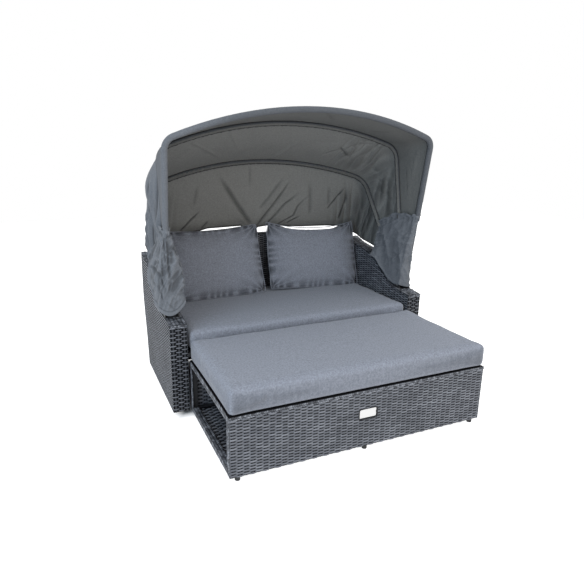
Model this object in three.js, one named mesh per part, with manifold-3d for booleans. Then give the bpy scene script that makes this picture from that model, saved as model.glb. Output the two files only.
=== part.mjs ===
// A wicker daybed: a two-seat sofa, a footstool that slides out from under it and a folding canopy.
// Millimetres, +Z up, the front faces -Y, the origin on the floor under the middle of the whole.
// Inside the group y = 0 is the front of the arms, and each pair of pieces is made on the +X side.
import * as THREE from 'three';
import { mergeVertices } from 'three/addons/utils/BufferGeometryUtils.js';
import Module from 'manifold-3d';

const manifold = await Module();
manifold.setup();

// Fits
const gap = 0.3; // left between two pieces that touch
const overrun = 5; // how far a cutter reaches past what it cuts
const boltGap = 0.4; // round a bolt in its hole
const arcShares = [0, 0.5, 1]; // of a quarter turn, for the points of a rounded corner

// Sofa
const sofaWidth = 1400;
const sofaBaseDepth = 632;
const sofaBulge = 73; // how far the curved rear edge swings out behind the base
const footHeight = 20;
const armWidth = 80;
const armFrontHeight = 458;
const armFlatLength = 150; // the straight front stretch of the arm's top
const armFlatRise = 15;
const armBackHeight = 676;
const armTopPastBase = 28; // how far behind the base the arm's top reaches its full height
const armTopShares = [
  [0.06, 0.06], [0.136, 0.19], [0.272, 0.43], [0.389, 0.616],
  [0.514, 0.749], [0.63, 0.8], [0.749, 0.837], [0.87, 0.89],
];
const rearEdgeShares = [[0, 0], [0.32, 0.26], [0.73, 0.44], [1, 0.61], [0.95, 0.76], [0.89, 0.93]];
const cornerSteps = 3;
const wickerWall = 3;
const backThickness = 46;
const backOverArm = 14; // of the back's top at its sides over the arm's full height
const backArchRise = 48;
const archSteps = 8;

// Frame tubes
const tube = 20;
const armLoopWidth = 15; // each of the two flat loops in an arm
const spacerLength = 40;
const armSpacerShares = [0.08, 0.88]; // places of the spacers over the feet, along the base
const backUprights = 5;
const seatHeight = 319; // top of the woven deck
const deckWall = 4;
const seatBars = 7;
const frameWall = 2;
const boltRadius = 4;
const boltHeadRadius = 6.5;
const boltHeadHeight = 5;
const boltSides = 12;
const seatBoltShares = [0.12, 0.86]; // along the seat frame's side rails
const backBoltDrop = 116; // below the arm's full height

// Feet
const footRadius = 16;
const footSides = 14;
const stoolFootRadius = 11;

// Canopy
const pivotBack = 117; // behind the front of the arms
const pivotRise = 22; // over the arm's top
const bowRadius = 8;
const bowWall = 1.2;
const bowPitch = 19; // between neighbouring legs along the pivot bolt
const bowInset = 14; // of the outermost leg from the sofa's side
const legEnd = 12; // of a leg past its pivot
const bowSides = 8;
const bows = {
  front: { tilt: 9, top: 930, crown: 1790, corner: 60, place: 0 },
  middle: { tilt: -10.5, top: 888, crown: 1790, corner: 90, place: 1 },
  rear: { tilt: -36.5, top: 838, crown: 1560, corner: 110, place: 2 },
};
const crownSteps = 7;
const bowCornerSteps = 3;
const legSteps = 3;
const bracketWall = 3;
const bracketLength = 56;
const bracketEar = 14; // radius of the ear round the bolt
const earSteps = 6;
const bracketScrewAhead = 19;
const bracketScrewRadius = 3;
const bracketScrewHead = 5;
const bracketScrewHeight = 2.5;
const bracketScrewLength = 16;
const pivotHead = 7;
const pivotHeadHeight = 4;
const nutHeight = 5;
const nutSides = 6;

// Hood cloth
const cloth = 2;
const crestGap = 0.9; // between a bow and the cloth that leaves it
const skirtTop = 420; // along the legs, where the hood's sides end
const hemLift = 20; // of the hood's rear hem over the weave
const hemFrontDepth = 364; // where the side hem starts, behind the arms' front
const rearClothLift = 14; // how far above the skirt the rear cloth starts on the leg
const hemTurnPastBase = 8; // how far behind the base the side hem turns into the rear hem
const hemSideInset = 16; // of the side hem from the sofa's side
const hemCornerInset = 60; // of the rear hem's ends
const hoodRows = [4, 8, 9];
const clothSag = 9;
const sideFold = 7;
const sideSwells = { front: 0, middle: 24, rear: 34 }; // how far the sides stand out
const swellRise = 0.75; // below 1, the rear swell lies nearer the bow
const sideFolds = 2.5;
const tieFold = 7;
const tieFolds = 11;
const tiePlace = -58; // of the hem's tie, from the middle
const tieReach = 260;
const legWrap = 15; // degrees that the rear cloth runs round the rear bow before it leaves it
const crownWrap = 42;
const tieWidth = 24;
const tieHeight = 120;

// Skirts over the pivots
const skirtCloth = 1.6;
const skirtTopHalf = 14;
const skirtHalf = 52;
const skirtEdgeShare = 0.8; // of the half width, at the bag's front and rear
const skirtEdgePower = 4; // how suddenly the bag narrows there
const skirtFullShare = 0.77; // of the way down, where the bag is at its widest
const skirtLead = 1.5; // degrees that the skirt starts before and after the outer legs
const skirtFold = 5;
const skirtFolds = 3;
const skirtRows = 6;
const skirtColumns = 8;
const skirtInset = 26; // of the bag's middle from the sofa's side
const skirtHems = {
  right: { depths: [99, 126, 160, 197, 231, 278, 345], lifts: [41, 40, 32, 30, 38, 58, 50] },
  left: { depths: [12, 84, 150, 197, 231, 278, 345], lifts: [42, 40, 36, 30, 38, 58, 50] },
};

// Footstool
const stoolGap = 8; // behind it, to the front of the arms, when it is out
const stoolSideGap = 8; // beside it, to the inner face of an arm
const stoolDepth = 569;
const stoolHeight = 280;
const wrapDepth = 32; // of the front and rear weaves along the sides
const stoolBars = 6;
const floorWidth = 300; // of each woven floor strip
const handleWidth = 84;
const handleHeight = 42;
const handleCentre = 173;
const handleCorner = 6;

// Cushions
const cushionSide = 8; // free beside a cushion
const seatCushionHeight = 88;
const seatCushionFront = 2;
const stoolCushionHeight = 95;
const cushionOverhang = 3;
const stoolCushionBack = 14;
const cushionCrown = 9;
const crownShares = [1, 0.85, 0.6, 0.25]; // of the half size, for the rings of a crown
const cushionDraw = 5; // how far the sides pull in between the corners
const cushionCorner = 34;
const cushionSideShares = [0.25, 0.5, 0.75]; // points along a side between two corners
const cushionEdge = 15;
const cushionEdgeShare = 0.3; // of the edge, where its rounding is half way
const pillowFree = 32; // of half the seat's width, left free beside a pillow
const pillowHeight = 386;
const pillowThickness = 138;
const pillowDraw = 17;
const pillowCorner = 26;
const pillowShares = [0.25, 0.5, 0.75, 0.92]; // of the half size, for the rings of a face
const pillowFlatness = 2.2; // how far out the faces stay thick
const pillowFullness = 0.8; // how steeply they fall to the seam
const pillowLean = 20;
const pillowPlaces = {
  left: { side: -1, shift: -1, turn: -2.5 },
  right: { side: 1, shift: 8, turn: 2.5 },
};

// Values worked out from the sizes above
const sofaHalf = sofaWidth / 2;
const innerHalf = sofaHalf - armWidth;
const reachFront = stoolGap + stoolDepth + cushionOverhang;
const reachBack = sofaBaseDepth + sofaBulge;
const armBackDepth = sofaBaseDepth + armTopPastBase;
const backSideHeight = armBackHeight + backOverArm;
const backBoltHeight = armBackHeight - backBoltDrop;
const armFlatTop = armFrontHeight + armFlatRise;
const inWall = wickerWall + gap;
const stoolHalf = innerHalf - stoolSideGap;
const stoolBack = -stoolGap;
const stoolFront = stoolBack - stoolDepth;
for (const bow of Object.values(bows)) bow.half = sofaHalf - bowInset - bow.place * bowPitch;

// Solids and outlines
const degrees = THREE.MathUtils.degToRad;
const lerp = THREE.MathUtils.lerp;
const v2 = (x, y) => new THREE.Vector2(x, y);
const v3 = (x, y, z) => new THREE.Vector3(x, y, z);
const axisX = v3(1, 0, 0);
const axisY = v3(0, 1, 0);
const axisZ = v3(0, 0, 1);

function solid(geometry) {
  const bare = geometry.clone();
  bare.deleteAttribute('normal');
  bare.deleteAttribute('uv');
  const merged = mergeVertices(bare);
  return new manifold.Manifold(new manifold.Mesh({
    numProp: 3,
    vertProperties: merged.attributes.position.array,
    triVerts: new Uint32Array(merged.index.array),
  }));
}

function surface(body) {
  const mesh = body.getMesh();
  const geometry = new THREE.BufferGeometry();
  geometry.setAttribute('position', new THREE.BufferAttribute(new Float32Array(mesh.vertProperties), 3));
  geometry.setIndex(new THREE.BufferAttribute(new Uint32Array(mesh.triVerts), 1));
  geometry.computeVertexNormals();
  return geometry;
}

const joined = (bodies) => bodies.reduce((all, body) => all.add(body));

function block(x, y, z) {
  const box = new THREE.BoxGeometry(x[1] - x[0], y[1] - y[0], z[1] - z[0]);
  return solid(box.translate((x[0] + x[1]) / 2, (y[0] + y[1]) / 2, (z[0] + z[1]) / 2));
}

function prism(outline, from, to, basis, holes) {
  const extrude = (line, start, end) => {
    const shape = new THREE.Shape(line);
    const geometry = new THREE.ExtrudeGeometry(shape, { depth: end - start, bevelEnabled: false });
    return solid(geometry.translate(0, 0, start).applyMatrix4(basis));
  };
  const cutters = holes.map((hole) => extrude(hole, from - overrun, to + overrun));
  const body = extrude(outline, from, to);
  return cutters.length ? body.subtract(joined(cutters)) : body;
}

// Outlines for prismX are in Y and Z, for prismY in X and Z, and for prismZ in X and Y.
const basisX = new THREE.Matrix4().makeBasis(axisY, axisZ, axisX);
const basisY = new THREE.Matrix4().makeBasis(axisX, axisZ, axisY.clone().negate());
const basisZ = new THREE.Matrix4();
const prismX = (outline, from, to, holes = []) => prism(outline, from, to, basisX, holes);
const prismY = (outline, from, to, holes = []) => prism(outline, -to, -from, basisY, holes);
const prismZ = (outline, from, to, holes = []) => prism(outline, from, to, basisZ, holes);

function rodX(radius, from, to, y, z, sides = boltSides) {
  const rod = new THREE.CylinderGeometry(radius, radius, to - from, sides);
  return solid(rod.rotateZ(Math.PI / 2).translate((from + to) / 2, y, z));
}

function rodZ(radius, from, to, x, y, sides = boltSides) {
  const rod = new THREE.CylinderGeometry(radius, radius, to - from, sides);
  return solid(rod.rotateX(Math.PI / 2).translate(x, y, (from + to) / 2));
}

const rectangle = (x, y) => [v2(x[0], y[0]), v2(x[1], y[0]), v2(x[1], y[1]), v2(x[0], y[1])];

// The four corner arcs of a rounded rectangle about the origin
const cornerArcs = (half, radius) => [[1, 1], [-1, 1], [-1, -1], [1, -1]].map(([x, y], i) => (
  arcShares.map((share) => {
    const turn = (Math.PI / 2) * (i + share);
    return v2(x * (half.x - radius) + radius * Math.cos(turn),
      y * (half.y - radius) + radius * Math.sin(turn));
  })));

// Moves each side of an outline that runs counter-clockwise inwards.
const inset = (points, distance) => points.map((p, i) => {
  const before = points.at(i - 1);
  const after = points[(i + 1) % points.length];
  const a = v2(before.y - p.y, p.x - before.x).normalize();
  const b = v2(p.y - after.y, after.x - p.x).normalize();
  return p.clone().addScaledVector(a.clone().add(b), distance / (1 + a.dot(b)));
});

// Height of a line of points at a depth. Past its ends the line runs on straight.
function heightAt(line, depth) {
  const found = line.findIndex((p) => p.x >= depth);
  const i = found < 0 ? line.length - 1 : Math.max(1, found);
  const [a, b] = [line[i - 1], line[i]];
  return lerp(a.y, b.y, (depth - a.x) / (b.x - a.x));
}

// A closed body through rings of points. The ends close on their middles.
function loft(rings) {
  const middle = (ring) => ring.reduce((sum, p) => sum.add(p), v3(0, 0, 0)).divideScalar(ring.length);
  const n = rings[0].length;
  const points = [...rings.flat(), middle(rings[0]), middle(rings.at(-1))];
  const faces = [];
  for (let j = 0; j < n; j += 1) {
    const k = (j + 1) % n;
    const last = (rings.length - 1) * n;
    faces.push(points.length - 2, k, j, points.length - 1, last + j, last + k);
    for (let i = 0; i < rings.length - 1; i += 1) {
      faces.push(...quad(i * n + j, i * n + k, (i + 1) * n + k, (i + 1) * n + j));
    }
  }
  return facing(points, faces);
}

// A thin body between two grids of points, rows by columns.
function sheet(inner, outer) {
  const rows = inner.length;
  const n = inner[0].length;
  const far = rows * n;
  const faces = [];
  const wall = (a, b) => faces.push(...quad(a, b, b + far, a + far));
  for (let i = 0; i < rows - 1; i += 1) {
    for (let j = 0; j < n - 1; j += 1) {
      const a = i * n + j;
      faces.push(...quad(a, a + n, a + n + 1, a + 1));
      faces.push(...quad(far + a, far + a + 1, far + a + n + 1, far + a + n));
    }
    wall(i * n + n, i * n);
    wall(i * n + n - 1, i * n + 2 * n - 1);
  }
  for (let j = 0; j < n - 1; j += 1) {
    wall(j, j + 1);
    wall(far - n + j + 1, far - n + j);
  }
  return facing([...inner.flat(), ...outer.flat()], faces);
}

// A body whose rings follow one another round and meet again.
function roundLoft(rings) {
  const n = rings[0].length;
  const faces = [];
  rings.forEach((_, i) => {
    const next = ((i + 1) % rings.length) * n;
    for (let j = 0; j < n; j += 1) {
      const k = (j + 1) % n;
      faces.push(...quad(i * n + j, i * n + k, next + k, next + j));
    }
  });
  return facing(rings.flat(), faces);
}

const quad = (a, b, c, d) => [a, b, c, a, c, d];

// Turns the faces outwards and makes the solid.
function facing(points, faces) {
  let volume = 0;
  for (let i = 0; i < faces.length; i += 3) {
    const [a, b, c] = [0, 1, 2].map((k) => points[faces[i + k]]);
    volume += a.dot(b.clone().cross(c));
  }
  const geometry = new THREE.BufferGeometry().setFromPoints(points);
  geometry.setIndex(volume > 0 ? faces : faces.reverse());
  return solid(geometry);
}

// Finishes and nodes
const daybed = new THREE.Group();
const finishes = {
  wicker: { color: 0x3b3d42, roughness: 0.55, metalness: 0 },
  frame: { color: 0x1c1d1f, roughness: 0.5, metalness: 0.6 },
  cushion: { color: 0x6d7279, roughness: 0.95, metalness: 0 },
  hood: { color: 0x4f5154, roughness: 0.95, metalness: 0 },
  plastic: { color: 0x111112, roughness: 0.7, metalness: 0 },
  zinc: { color: 0xa8abad, roughness: 0.35, metalness: 1 },
};

function add(name, body, finish) {
  const mesh = new THREE.Mesh(surface(body), new THREE.MeshStandardMaterial(finishes[finish]));
  mesh.name = name;
  daybed.add(mesh);
  return mesh;
}

// The left piece of a pair is the right one, mirrored.
function addPair(name, body, finish) {
  add(`right_${name}`, body, finish);
  add(`left_${name}`, body, finish).scale.x = -1;
}

// Arms: the side outline in Y and Z
const armSpan = armBackDepth - armFlatLength;
const armRise = armBackHeight - armFlatTop;
const rearEdge = rearEdgeShares.map(([out, up]) => v2(
  sofaBaseDepth + sofaBulge * out, lerp(footHeight, armBackHeight, up)));
const armTop = [
  v2(0, armFrontHeight), v2(armFlatLength, armFlatTop),
  ...armTopShares.map(([back, up]) => v2(armFlatLength + armSpan * back, armFlatTop + armRise * up)),
  v2(armBackDepth, armBackHeight),
];
const rearCorner = new THREE.QuadraticBezierCurve(
  rearEdge.at(-1), v2(rearEdge.at(-1).x, armBackHeight), armTop.at(-1)).getPoints(cornerSteps);
const armOutline = [v2(0, footHeight), ...rearEdge, ...rearCorner.slice(1, -1), ...armTop.toReversed()];
const tallest = Math.max(armBackHeight, backSideHeight + backArchRise) + overrun;
const rearLine = [...rearEdge, v2(rearEdge.at(-1).x, tallest)];
const armTopAt = (depth) => heightAt(armTop, depth);
const rearAt = (height) => heightAt(rearLine.map((p) => v2(p.y, p.x)), height);

const seatRail = [seatHeight - deckWall - gap - tube, seatHeight - deckWall - gap];
const seatRailMiddle = (seatRail[0] + seatRail[1]) / 2;
const seatBack = rearAt(seatRail[0]) - backThickness - gap;
const seatFront = gap;
const seatBoltPlaces = seatBoltShares.map((share) => lerp(seatFront, seatBack, share));
const backBoltPlace = rearAt(backBoltHeight) - backThickness + inWall + tube / 2;
const pivot = v2(pivotBack, armTopAt(pivotBack) + pivotRise);
const screwPlace = v2(sofaHalf - bowInset - bowPitch, pivotBack + bracketScrewAhead);
const armLoops = [
  [innerHalf + inWall, innerHalf + inWall + armLoopWidth],
  [sofaHalf - inWall - armLoopWidth, sofaHalf - inWall],
];

// Holes through the arm for the bolts that hold seat, back and canopy bracket
function armBoltHoles() {
  const reach = [innerHalf - overrun, armLoops[0][1] + overrun];
  const holes = seatBoltPlaces.map((y) => rodX(boltRadius + boltGap, ...reach, y, seatRailMiddle));
  holes.push(rodX(boltRadius + boltGap, ...reach, backBoltPlace, backBoltHeight));
  const top = armTopAt(screwPlace.y);
  holes.push(rodZ(bracketScrewRadius + boltGap, top - tube - inWall - overrun, top + overrun,
    screwPlace.x, screwPlace.y));
  return joined(holes);
}

function armFrame() {
  const across = [armLoops[0][0], armLoops[1][1]];
  const window = prismX(inset(armOutline, inWall + tube), across[0] - overrun, across[1] + overrun)
    .subtract(block([across[0] - overrun, armLoops[0][1]], [0, reachBack], seatRail));
  const ring = prismX(inset(armOutline, inWall), ...across).subtract(window);
  const spacer = (y, z) => block(across, [y - spacerLength / 2, y + spacerLength / 2], z);
  const low = [footHeight, footHeight + inWall + tube];
  const high = [armFrontHeight - tube, armBackHeight];
  const kept = joined([
    ...armLoops.map((x) => block(x, [0, reachBack], [footHeight, armBackHeight])),
    ...armSpacerShares.map((share) => spacer(sofaBaseDepth * share, low)),
    spacer(screwPlace.y, high),
    spacer(armBackDepth - spacerLength, high),
  ]);
  return ring.intersect(kept).subtract(armBoltHoles());
}

function armWicker() {
  const inside = [innerHalf + wickerWall, sofaHalf - wickerWall];
  const open = block(inside, [wickerWall, sofaBaseDepth - wickerWall],
    [footHeight - overrun, footHeight + wickerWall + overrun]);
  return prismX(armOutline, innerHalf, sofaHalf)
    .subtract(prismX(inset(armOutline, wickerWall), ...inside).add(open))
    .subtract(armBoltHoles());
}

addPair('arm_frame', armFrame(), 'frame');
addPair('arm_wicker', armWicker(), 'wicker');

// Back: a curved band in Y and Z, cut to an arched outline in X and Z
const backHalf = innerHalf - gap;
const archPlaces = Array.from({ length: archSteps + 1 }, (_, i) => lerp(-backHalf, backHalf, i / archSteps));
const arch = archPlaces.map((x) => v2(x, backSideHeight + backArchRise * (1 - (x / backHalf) ** 2)));
const backTopAt = (x) => heightAt(arch, x);

function backBand(front, rear, bottom) {
  const lowered = [v2(rearAt(bottom), bottom), ...rearLine.slice(1)];
  return [
    ...lowered.map((p) => v2(p.x - rear, p.y)),
    ...lowered.toReversed().map((p) => v2(p.x - backThickness + front, p.y)),
  ];
}

function backFace(margin, bottom) {
  const half = backHalf - margin;
  const places = [half, ...archPlaces.slice(1, -1).toReversed(), -half];
  return [v2(-half, bottom), v2(half, bottom), ...places.map((x) => v2(x, backTopAt(x) - margin))];
}

const backDepths = [sofaBaseDepth - backThickness - overrun, reachBack + overrun];

function backBoltHoles() {
  return joined([-1, 1].map((side) => {
    const reach = [side * (backHalf + overrun), side * (backHalf - inWall - tube - overrun)];
    return rodX(boltRadius + boltGap, Math.min(...reach), Math.max(...reach),
      backBoltPlace, backBoltHeight);
  }));
}

function backWicker() {
  const outer = prismX(backBand(0, 0, footHeight), -backHalf, backHalf)
    .intersect(prismY(backFace(0, footHeight), ...backDepths));
  const inner = prismX(backBand(wickerWall, wickerWall, footHeight - overrun), -backHalf, backHalf)
    .intersect(prismY(backFace(wickerWall, footHeight - overrun), ...backDepths));
  return outer.subtract(inner).subtract(backBoltHoles());
}

function backFrame() {
  const half = backHalf - inWall;
  const bay = (2 * half - tube) / (backUprights - 1);
  const bottom = footHeight + inWall;
  const windows = Array.from({ length: backUprights - 1 }, (_, i) => {
    const left = -half + tube + i * bay;
    const right = left + bay - tube;
    return [v2(left, bottom + tube), v2(right, bottom + tube),
      v2(right, backTopAt(right) - inWall - tube), v2(left, backTopAt(left) - inWall - tube)];
  });
  return prismX(backBand(inWall, backThickness - inWall - tube, bottom), -half, half)
    .intersect(prismY(backFace(inWall, bottom), ...backDepths, windows))
    .subtract(backBoltHoles());
}

add('back_frame', backFrame(), 'frame');
add('back_wicker', backWicker(), 'wicker');

// A ladder of tubes in X and Y, open underneath
function ladder(x, y, z, bars) {
  const pitch = (x[1] - x[0] - tube) / (bars + 1);
  const bays = Array.from({ length: bars + 1 }, (_, i) => {
    const left = x[0] + tube + i * pitch;
    return rectangle([left, left + pitch - tube], [y[0] + tube, y[1] - tube]);
  });
  const outline = rectangle(x, y);
  const hollow = prismZ(inset(outline, frameWall), z[0] - overrun, z[1] - frameWall,
    bays.map((bay) => inset(bay, -frameWall)));
  return prismZ(outline, ...z, bays).subtract(hollow);
}

const seatHalf = innerHalf - gap;

function seatFrame() {
  const holes = [-1, 1].flatMap((side) => seatBoltPlaces.map((y) => {
    const reach = [side * (seatHalf + overrun), side * (seatHalf - tube - overrun)];
    return rodX(boltRadius + boltGap, Math.min(...reach), Math.max(...reach), y, seatRailMiddle);
  }));
  return ladder([-seatHalf, seatHalf], [seatFront, seatBack], seatRail, seatBars)
    .subtract(joined(holes));
}

add('seat_frame', seatFrame(), 'frame');
add('seat_deck_weave', block([-seatHalf, seatHalf], [seatFront, seatBack],
  [seatHeight - deckWall, seatHeight]), 'wicker');

// Bolts with their heads towards the middle of the sofa
function bolt(headFace, length, y, z) {
  const shank = rodX(boltRadius, headFace - gap, headFace + length, y, z);
  return shank.add(rodX(boltHeadRadius, headFace - gap - boltHeadHeight, headFace - gap, y, z));
}

const seatBoltHead = seatHalf - tube;
['front', 'rear'].forEach((place, i) => {
  addPair(`${place}_seat_bolt`, bolt(seatBoltHead, armLoops[0][1] - seatBoltHead - gap,
    seatBoltPlaces[i], seatRailMiddle), 'zinc');
});
const backBoltHead = backHalf - inWall - tube;
addPair('back_bolt', bolt(backBoltHead, armLoops[0][1] - backBoltHead - gap,
  backBoltPlace, backBoltHeight), 'zinc');

// Feet under the arms' spacers
const foot = (radius, x, y) => rodZ(radius, 0, footHeight + inWall - gap, x, y, footSides);
const armMiddle = sofaHalf - armWidth / 2;
addPair('front_foot', foot(footRadius, armMiddle, sofaBaseDepth * armSpacerShares[0]), 'plastic');
addPair('rear_foot', foot(footRadius, armMiddle, sofaBaseDepth * armSpacerShares[1]), 'plastic');

// Canopy brackets and pivots
const bracket = { inner: bows.rear.half - bowPitch + bracketWall, outer: sofaHalf };

function canopyBracket() {
  const ends = [pivotBack - bracketLength / 2, pivotBack + bracketLength / 2];
  const base = (lift) => [
    ...ends.map((y) => v2(y, armTopAt(y) + gap)),
    ...ends.toReversed().map((y) => v2(y, armTopAt(y) + gap + lift)),
  ];
  const round = Array.from({ length: earSteps + 1 }, (_, i) => {
    const turn = Math.PI * (i / earSteps);
    return v2(pivot.x + bracketEar * Math.cos(turn), pivot.y + bracketEar * Math.sin(turn));
  });
  const ear = [...base(0).slice(0, 2), ...round];
  const { inner, outer } = bracket;
  const top = armTopAt(screwPlace.y);
  return joined([
    prismX(base(bracketWall), inner, outer),
    prismX(ear, inner, inner + bracketWall),
    prismX(ear, outer - bracketWall, outer),
  ])
    .subtract(rodX(boltRadius + boltGap, inner - overrun, outer + overrun, pivot.x, pivot.y))
    .subtract(rodZ(bracketScrewRadius + boltGap, top - overrun, top + overrun + bracketWall,
      screwPlace.x, screwPlace.y));
}

function pivotBolt() {
  const outer = bracket.outer + gap;
  return rodX(boltRadius, bracket.inner - gap - nutHeight, outer, pivot.x, pivot.y)
    .add(rodX(pivotHead, outer, outer + pivotHeadHeight, pivot.x, pivot.y));
}

function pivotNut() {
  const face = bracket.inner - gap;
  return rodX(pivotHead, face - nutHeight, face, pivot.x, pivot.y, nutSides)
    .subtract(rodX(boltRadius + boltGap, face - nutHeight - overrun, face + overrun, pivot.x, pivot.y));
}

function bracketScrew() {
  const seat = armTopAt(screwPlace.y + bracketScrewHead) + 2 * gap + bracketWall;
  return rodZ(bracketScrewRadius, seat - bracketScrewLength, seat, screwPlace.x, screwPlace.y)
    .add(rodZ(bracketScrewHead, seat, seat + bracketScrewHeight, screwPlace.x, screwPlace.y));
}

addPair('canopy_bracket', canopyBracket(), 'frame');
addPair('pivot_bolt', pivotBolt(), 'zinc');
addPair('pivot_nut', pivotNut(), 'zinc');
addPair('bracket_screw', bracketScrew(), 'zinc');

// Bows: stations along a bow in its own plane, from the right leg over the crown to the left leg.
// A station has its place, its outward normal, and its stretch and share along that stretch.
function stations(bow, start, legSteps) {
  const centre = bow.top - bow.crown;
  const cornerX = bow.half - bow.corner;
  const cornerUp = centre + Math.sqrt((bow.crown - bow.corner) ** 2 - cornerX ** 2);
  const meet = Math.atan2(cornerX, cornerUp - centre);
  const right = [];
  for (let i = 0; i <= legSteps; i += 1) {
    right.push({ at: v2(bow.half, lerp(start, cornerUp, i / legSteps)), out: v2(1, 0),
      stretch: 'leg', share: i / legSteps });
  }
  for (let i = 1; i <= bowCornerSteps; i += 1) {
    const turn = (Math.PI / 2 - meet) * (i / bowCornerSteps);
    const out = v2(Math.cos(turn), Math.sin(turn));
    right.push({ at: v2(cornerX, cornerUp).addScaledVector(out, bow.corner), out,
      stretch: 'corner', share: i / bowCornerSteps });
  }
  for (let i = 1; i <= crownSteps; i += 1) {
    const turn = meet * (1 - i / crownSteps);
    const out = v2(Math.sin(turn), Math.cos(turn));
    right.push({ at: v2(0, centre).addScaledVector(out, bow.crown), out,
      stretch: 'crown', share: i / crownSteps });
  }
  const mirror = (s) => ({ ...s, at: v2(-s.at.x, s.at.y), out: v2(-s.out.x, s.out.y) });
  return [...right, ...right.slice(0, -1).reverse().map(mirror)];
}

// From the plane of a bow into space. Back is how far behind the bow's plane.
function onBow(bow, at, back = 0) {
  const tilt = degrees(bow.tilt);
  return v3(at.x, pivot.x - at.y * Math.sin(tilt) + back * Math.cos(tilt),
    pivot.y + at.y * Math.cos(tilt) + back * Math.sin(tilt));
}

// A direction of a bow's plane, turned back about the bow by an angle
function bowDirection(bow, out, turn = 0) {
  const tilt = degrees(bow.tilt);
  const up = out.y * Math.cos(turn);
  const back = Math.sin(turn);
  return v3(out.x * Math.cos(turn), -up * Math.sin(tilt) + back * Math.cos(tilt),
    up * Math.cos(tilt) + back * Math.sin(tilt));
}

function bowTube(bow) {
  const line = stations(bow, -legEnd, legSteps);
  const ring = (s, radius) => Array.from({ length: bowSides }, (_, k) => {
    const turn = 2 * Math.PI * (k / bowSides);
    return onBow(bow, s.at.clone().addScaledVector(s.out, radius * Math.cos(turn)),
      radius * Math.sin(turn));
  });
  const past = (s, by) => ({ ...s, at: v2(s.at.x, s.at.y - by) });
  const ends = [past(line[0], overrun), ...line.slice(1, -1), past(line.at(-1), overrun)];
  return loft(line.map((s) => ring(s, bowRadius)))
    .subtract(loft(ends.map((s) => ring(s, bowRadius - bowWall))))
    .subtract(rodX(boltRadius + boltGap, -sofaHalf, sofaHalf, pivot.x, pivot.y));
}

for (const name of ['rear', 'middle', 'front']) add(`${name}_bow`, bowTube(bows[name]), 'frame');

// Hood cloth between two bows. It sags a little between them and folds softly at the sides.
const crest = bowRadius + crestGap;

function hoodPanel(from, to, rows, folds, swell) {
  const edges = [from, to].map((bow) => stations(bow, skirtTop, legSteps));
  const grid = (lift) => Array.from({ length: rows + 1 }, (_, i) => {
    const v = i / rows;
    return edges[0].map((a, j) => {
      const b = edges[1][j];
      const start = onBow(from, a.at.clone().addScaledVector(a.out, crest), gap);
      const end = onBow(to, b.at.clone().addScaledVector(b.out, crest), -gap);
      const normal = bowDirection(from, a.out).lerp(bowDirection(to, b.out), v).normalize();
      const low = a.stretch === 'leg' ? 1 - a.share : 0;
      const hang = Math.sin(Math.PI * v) ** 2;
      const fold = swell + sideFold * Math.sin(2 * Math.PI * folds * v);
      const bend = hang * lerp(-clothSag, fold, low);
      return start.lerp(end, v).addScaledVector(normal, bend + lift);
    });
  });
  return sheet(grid(0), grid(cloth));
}

// Rear cloth: from the rear bow down to the hem over the arms and the back
const rearTop = rearEdge.at(-1).x;
const hemSideDepth = sofaBaseDepth + hemTurnPastBase;
const hemSideOut = sofaHalf - hemSideInset;
const hemCornerOut = sofaHalf - hemCornerInset;

function hemPoint(station) {
  const side = Math.sign(station.at.x) || 1;
  const sideTop = armTopAt(hemSideDepth);
  if (station.stretch === 'leg') {
    const y = lerp(hemFrontDepth, hemSideDepth, station.share);
    return { at: v3(side * hemSideOut, y, armTopAt(y) + hemLift), out: v3(side, 0, 0) };
  }
  if (station.stretch === 'corner') {
    const turn = (Math.PI / 2) * station.share;
    const x = hemCornerOut + (hemSideOut - hemCornerOut) * Math.cos(turn);
    const y = hemSideDepth + (rearTop - cloth - hemSideDepth) * Math.sin(turn);
    const z = lerp(sideTop, backTopAt(innerHalf), station.share) + hemLift;
    return { at: v3(side * x, y, z), out: v3(side * Math.cos(turn), Math.sin(turn), 0) };
  }
  const x = side * hemCornerOut * (1 - station.share);
  const z = Math.max(backTopAt(x), backSideHeight) + hemLift;
  return { at: v3(x, rearTop - cloth, z), out: axisY };
}

// Soft folds that run together at the tie on the hem
function foldsAtTie(point) {
  const dx = point.x - tiePlace;
  const dz = Math.max(0, point.z - backTopAt(tiePlace));
  const reach = Math.hypot(dx, dz);
  return tieFold * Math.cos(tieFolds * Math.atan2(dz, dx)) * Math.min(1, reach / tieReach)
    * Math.exp(-reach / (2 * tieReach));
}

function rearPanel(rows) {
  const bow = bows.rear;
  const line = stations(bow, skirtTop + rearClothLift, legSteps);
  const grid = (lift) => Array.from({ length: rows + 1 }, (_, i) => line.map((s) => {
    if (i === 0) {
      const start = onBow(bow, s.at.clone().addScaledVector(s.out, crest), gap);
      return start.addScaledVector(bowDirection(bow, s.out), lift);
    }
    const onCrown = { leg: 0, corner: s.share, crown: 1 }[s.stretch];
    const leave = bowDirection(bow, s.out, degrees(lerp(legWrap, crownWrap, onCrown)));
    const start = onBow(bow, s.at).addScaledVector(leave, crest);
    const hem = hemPoint(s);
    const v = (i - 1) / (rows - 1);
    const normal = leave.clone().lerp(hem.out, v).normalize();
    const point = start.lerp(hem.at, v);
    const hang = Math.sin(Math.PI * v ** swellRise) ** 2;
    const side = sideSwells.rear + sideFold * Math.sin(2 * Math.PI * sideFolds * v);
    return point.addScaledVector(normal, hang * lerp(side, foldsAtTie(point), onCrown) + lift);
  }));
  return sheet(grid(0), grid(cloth));
}

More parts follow.
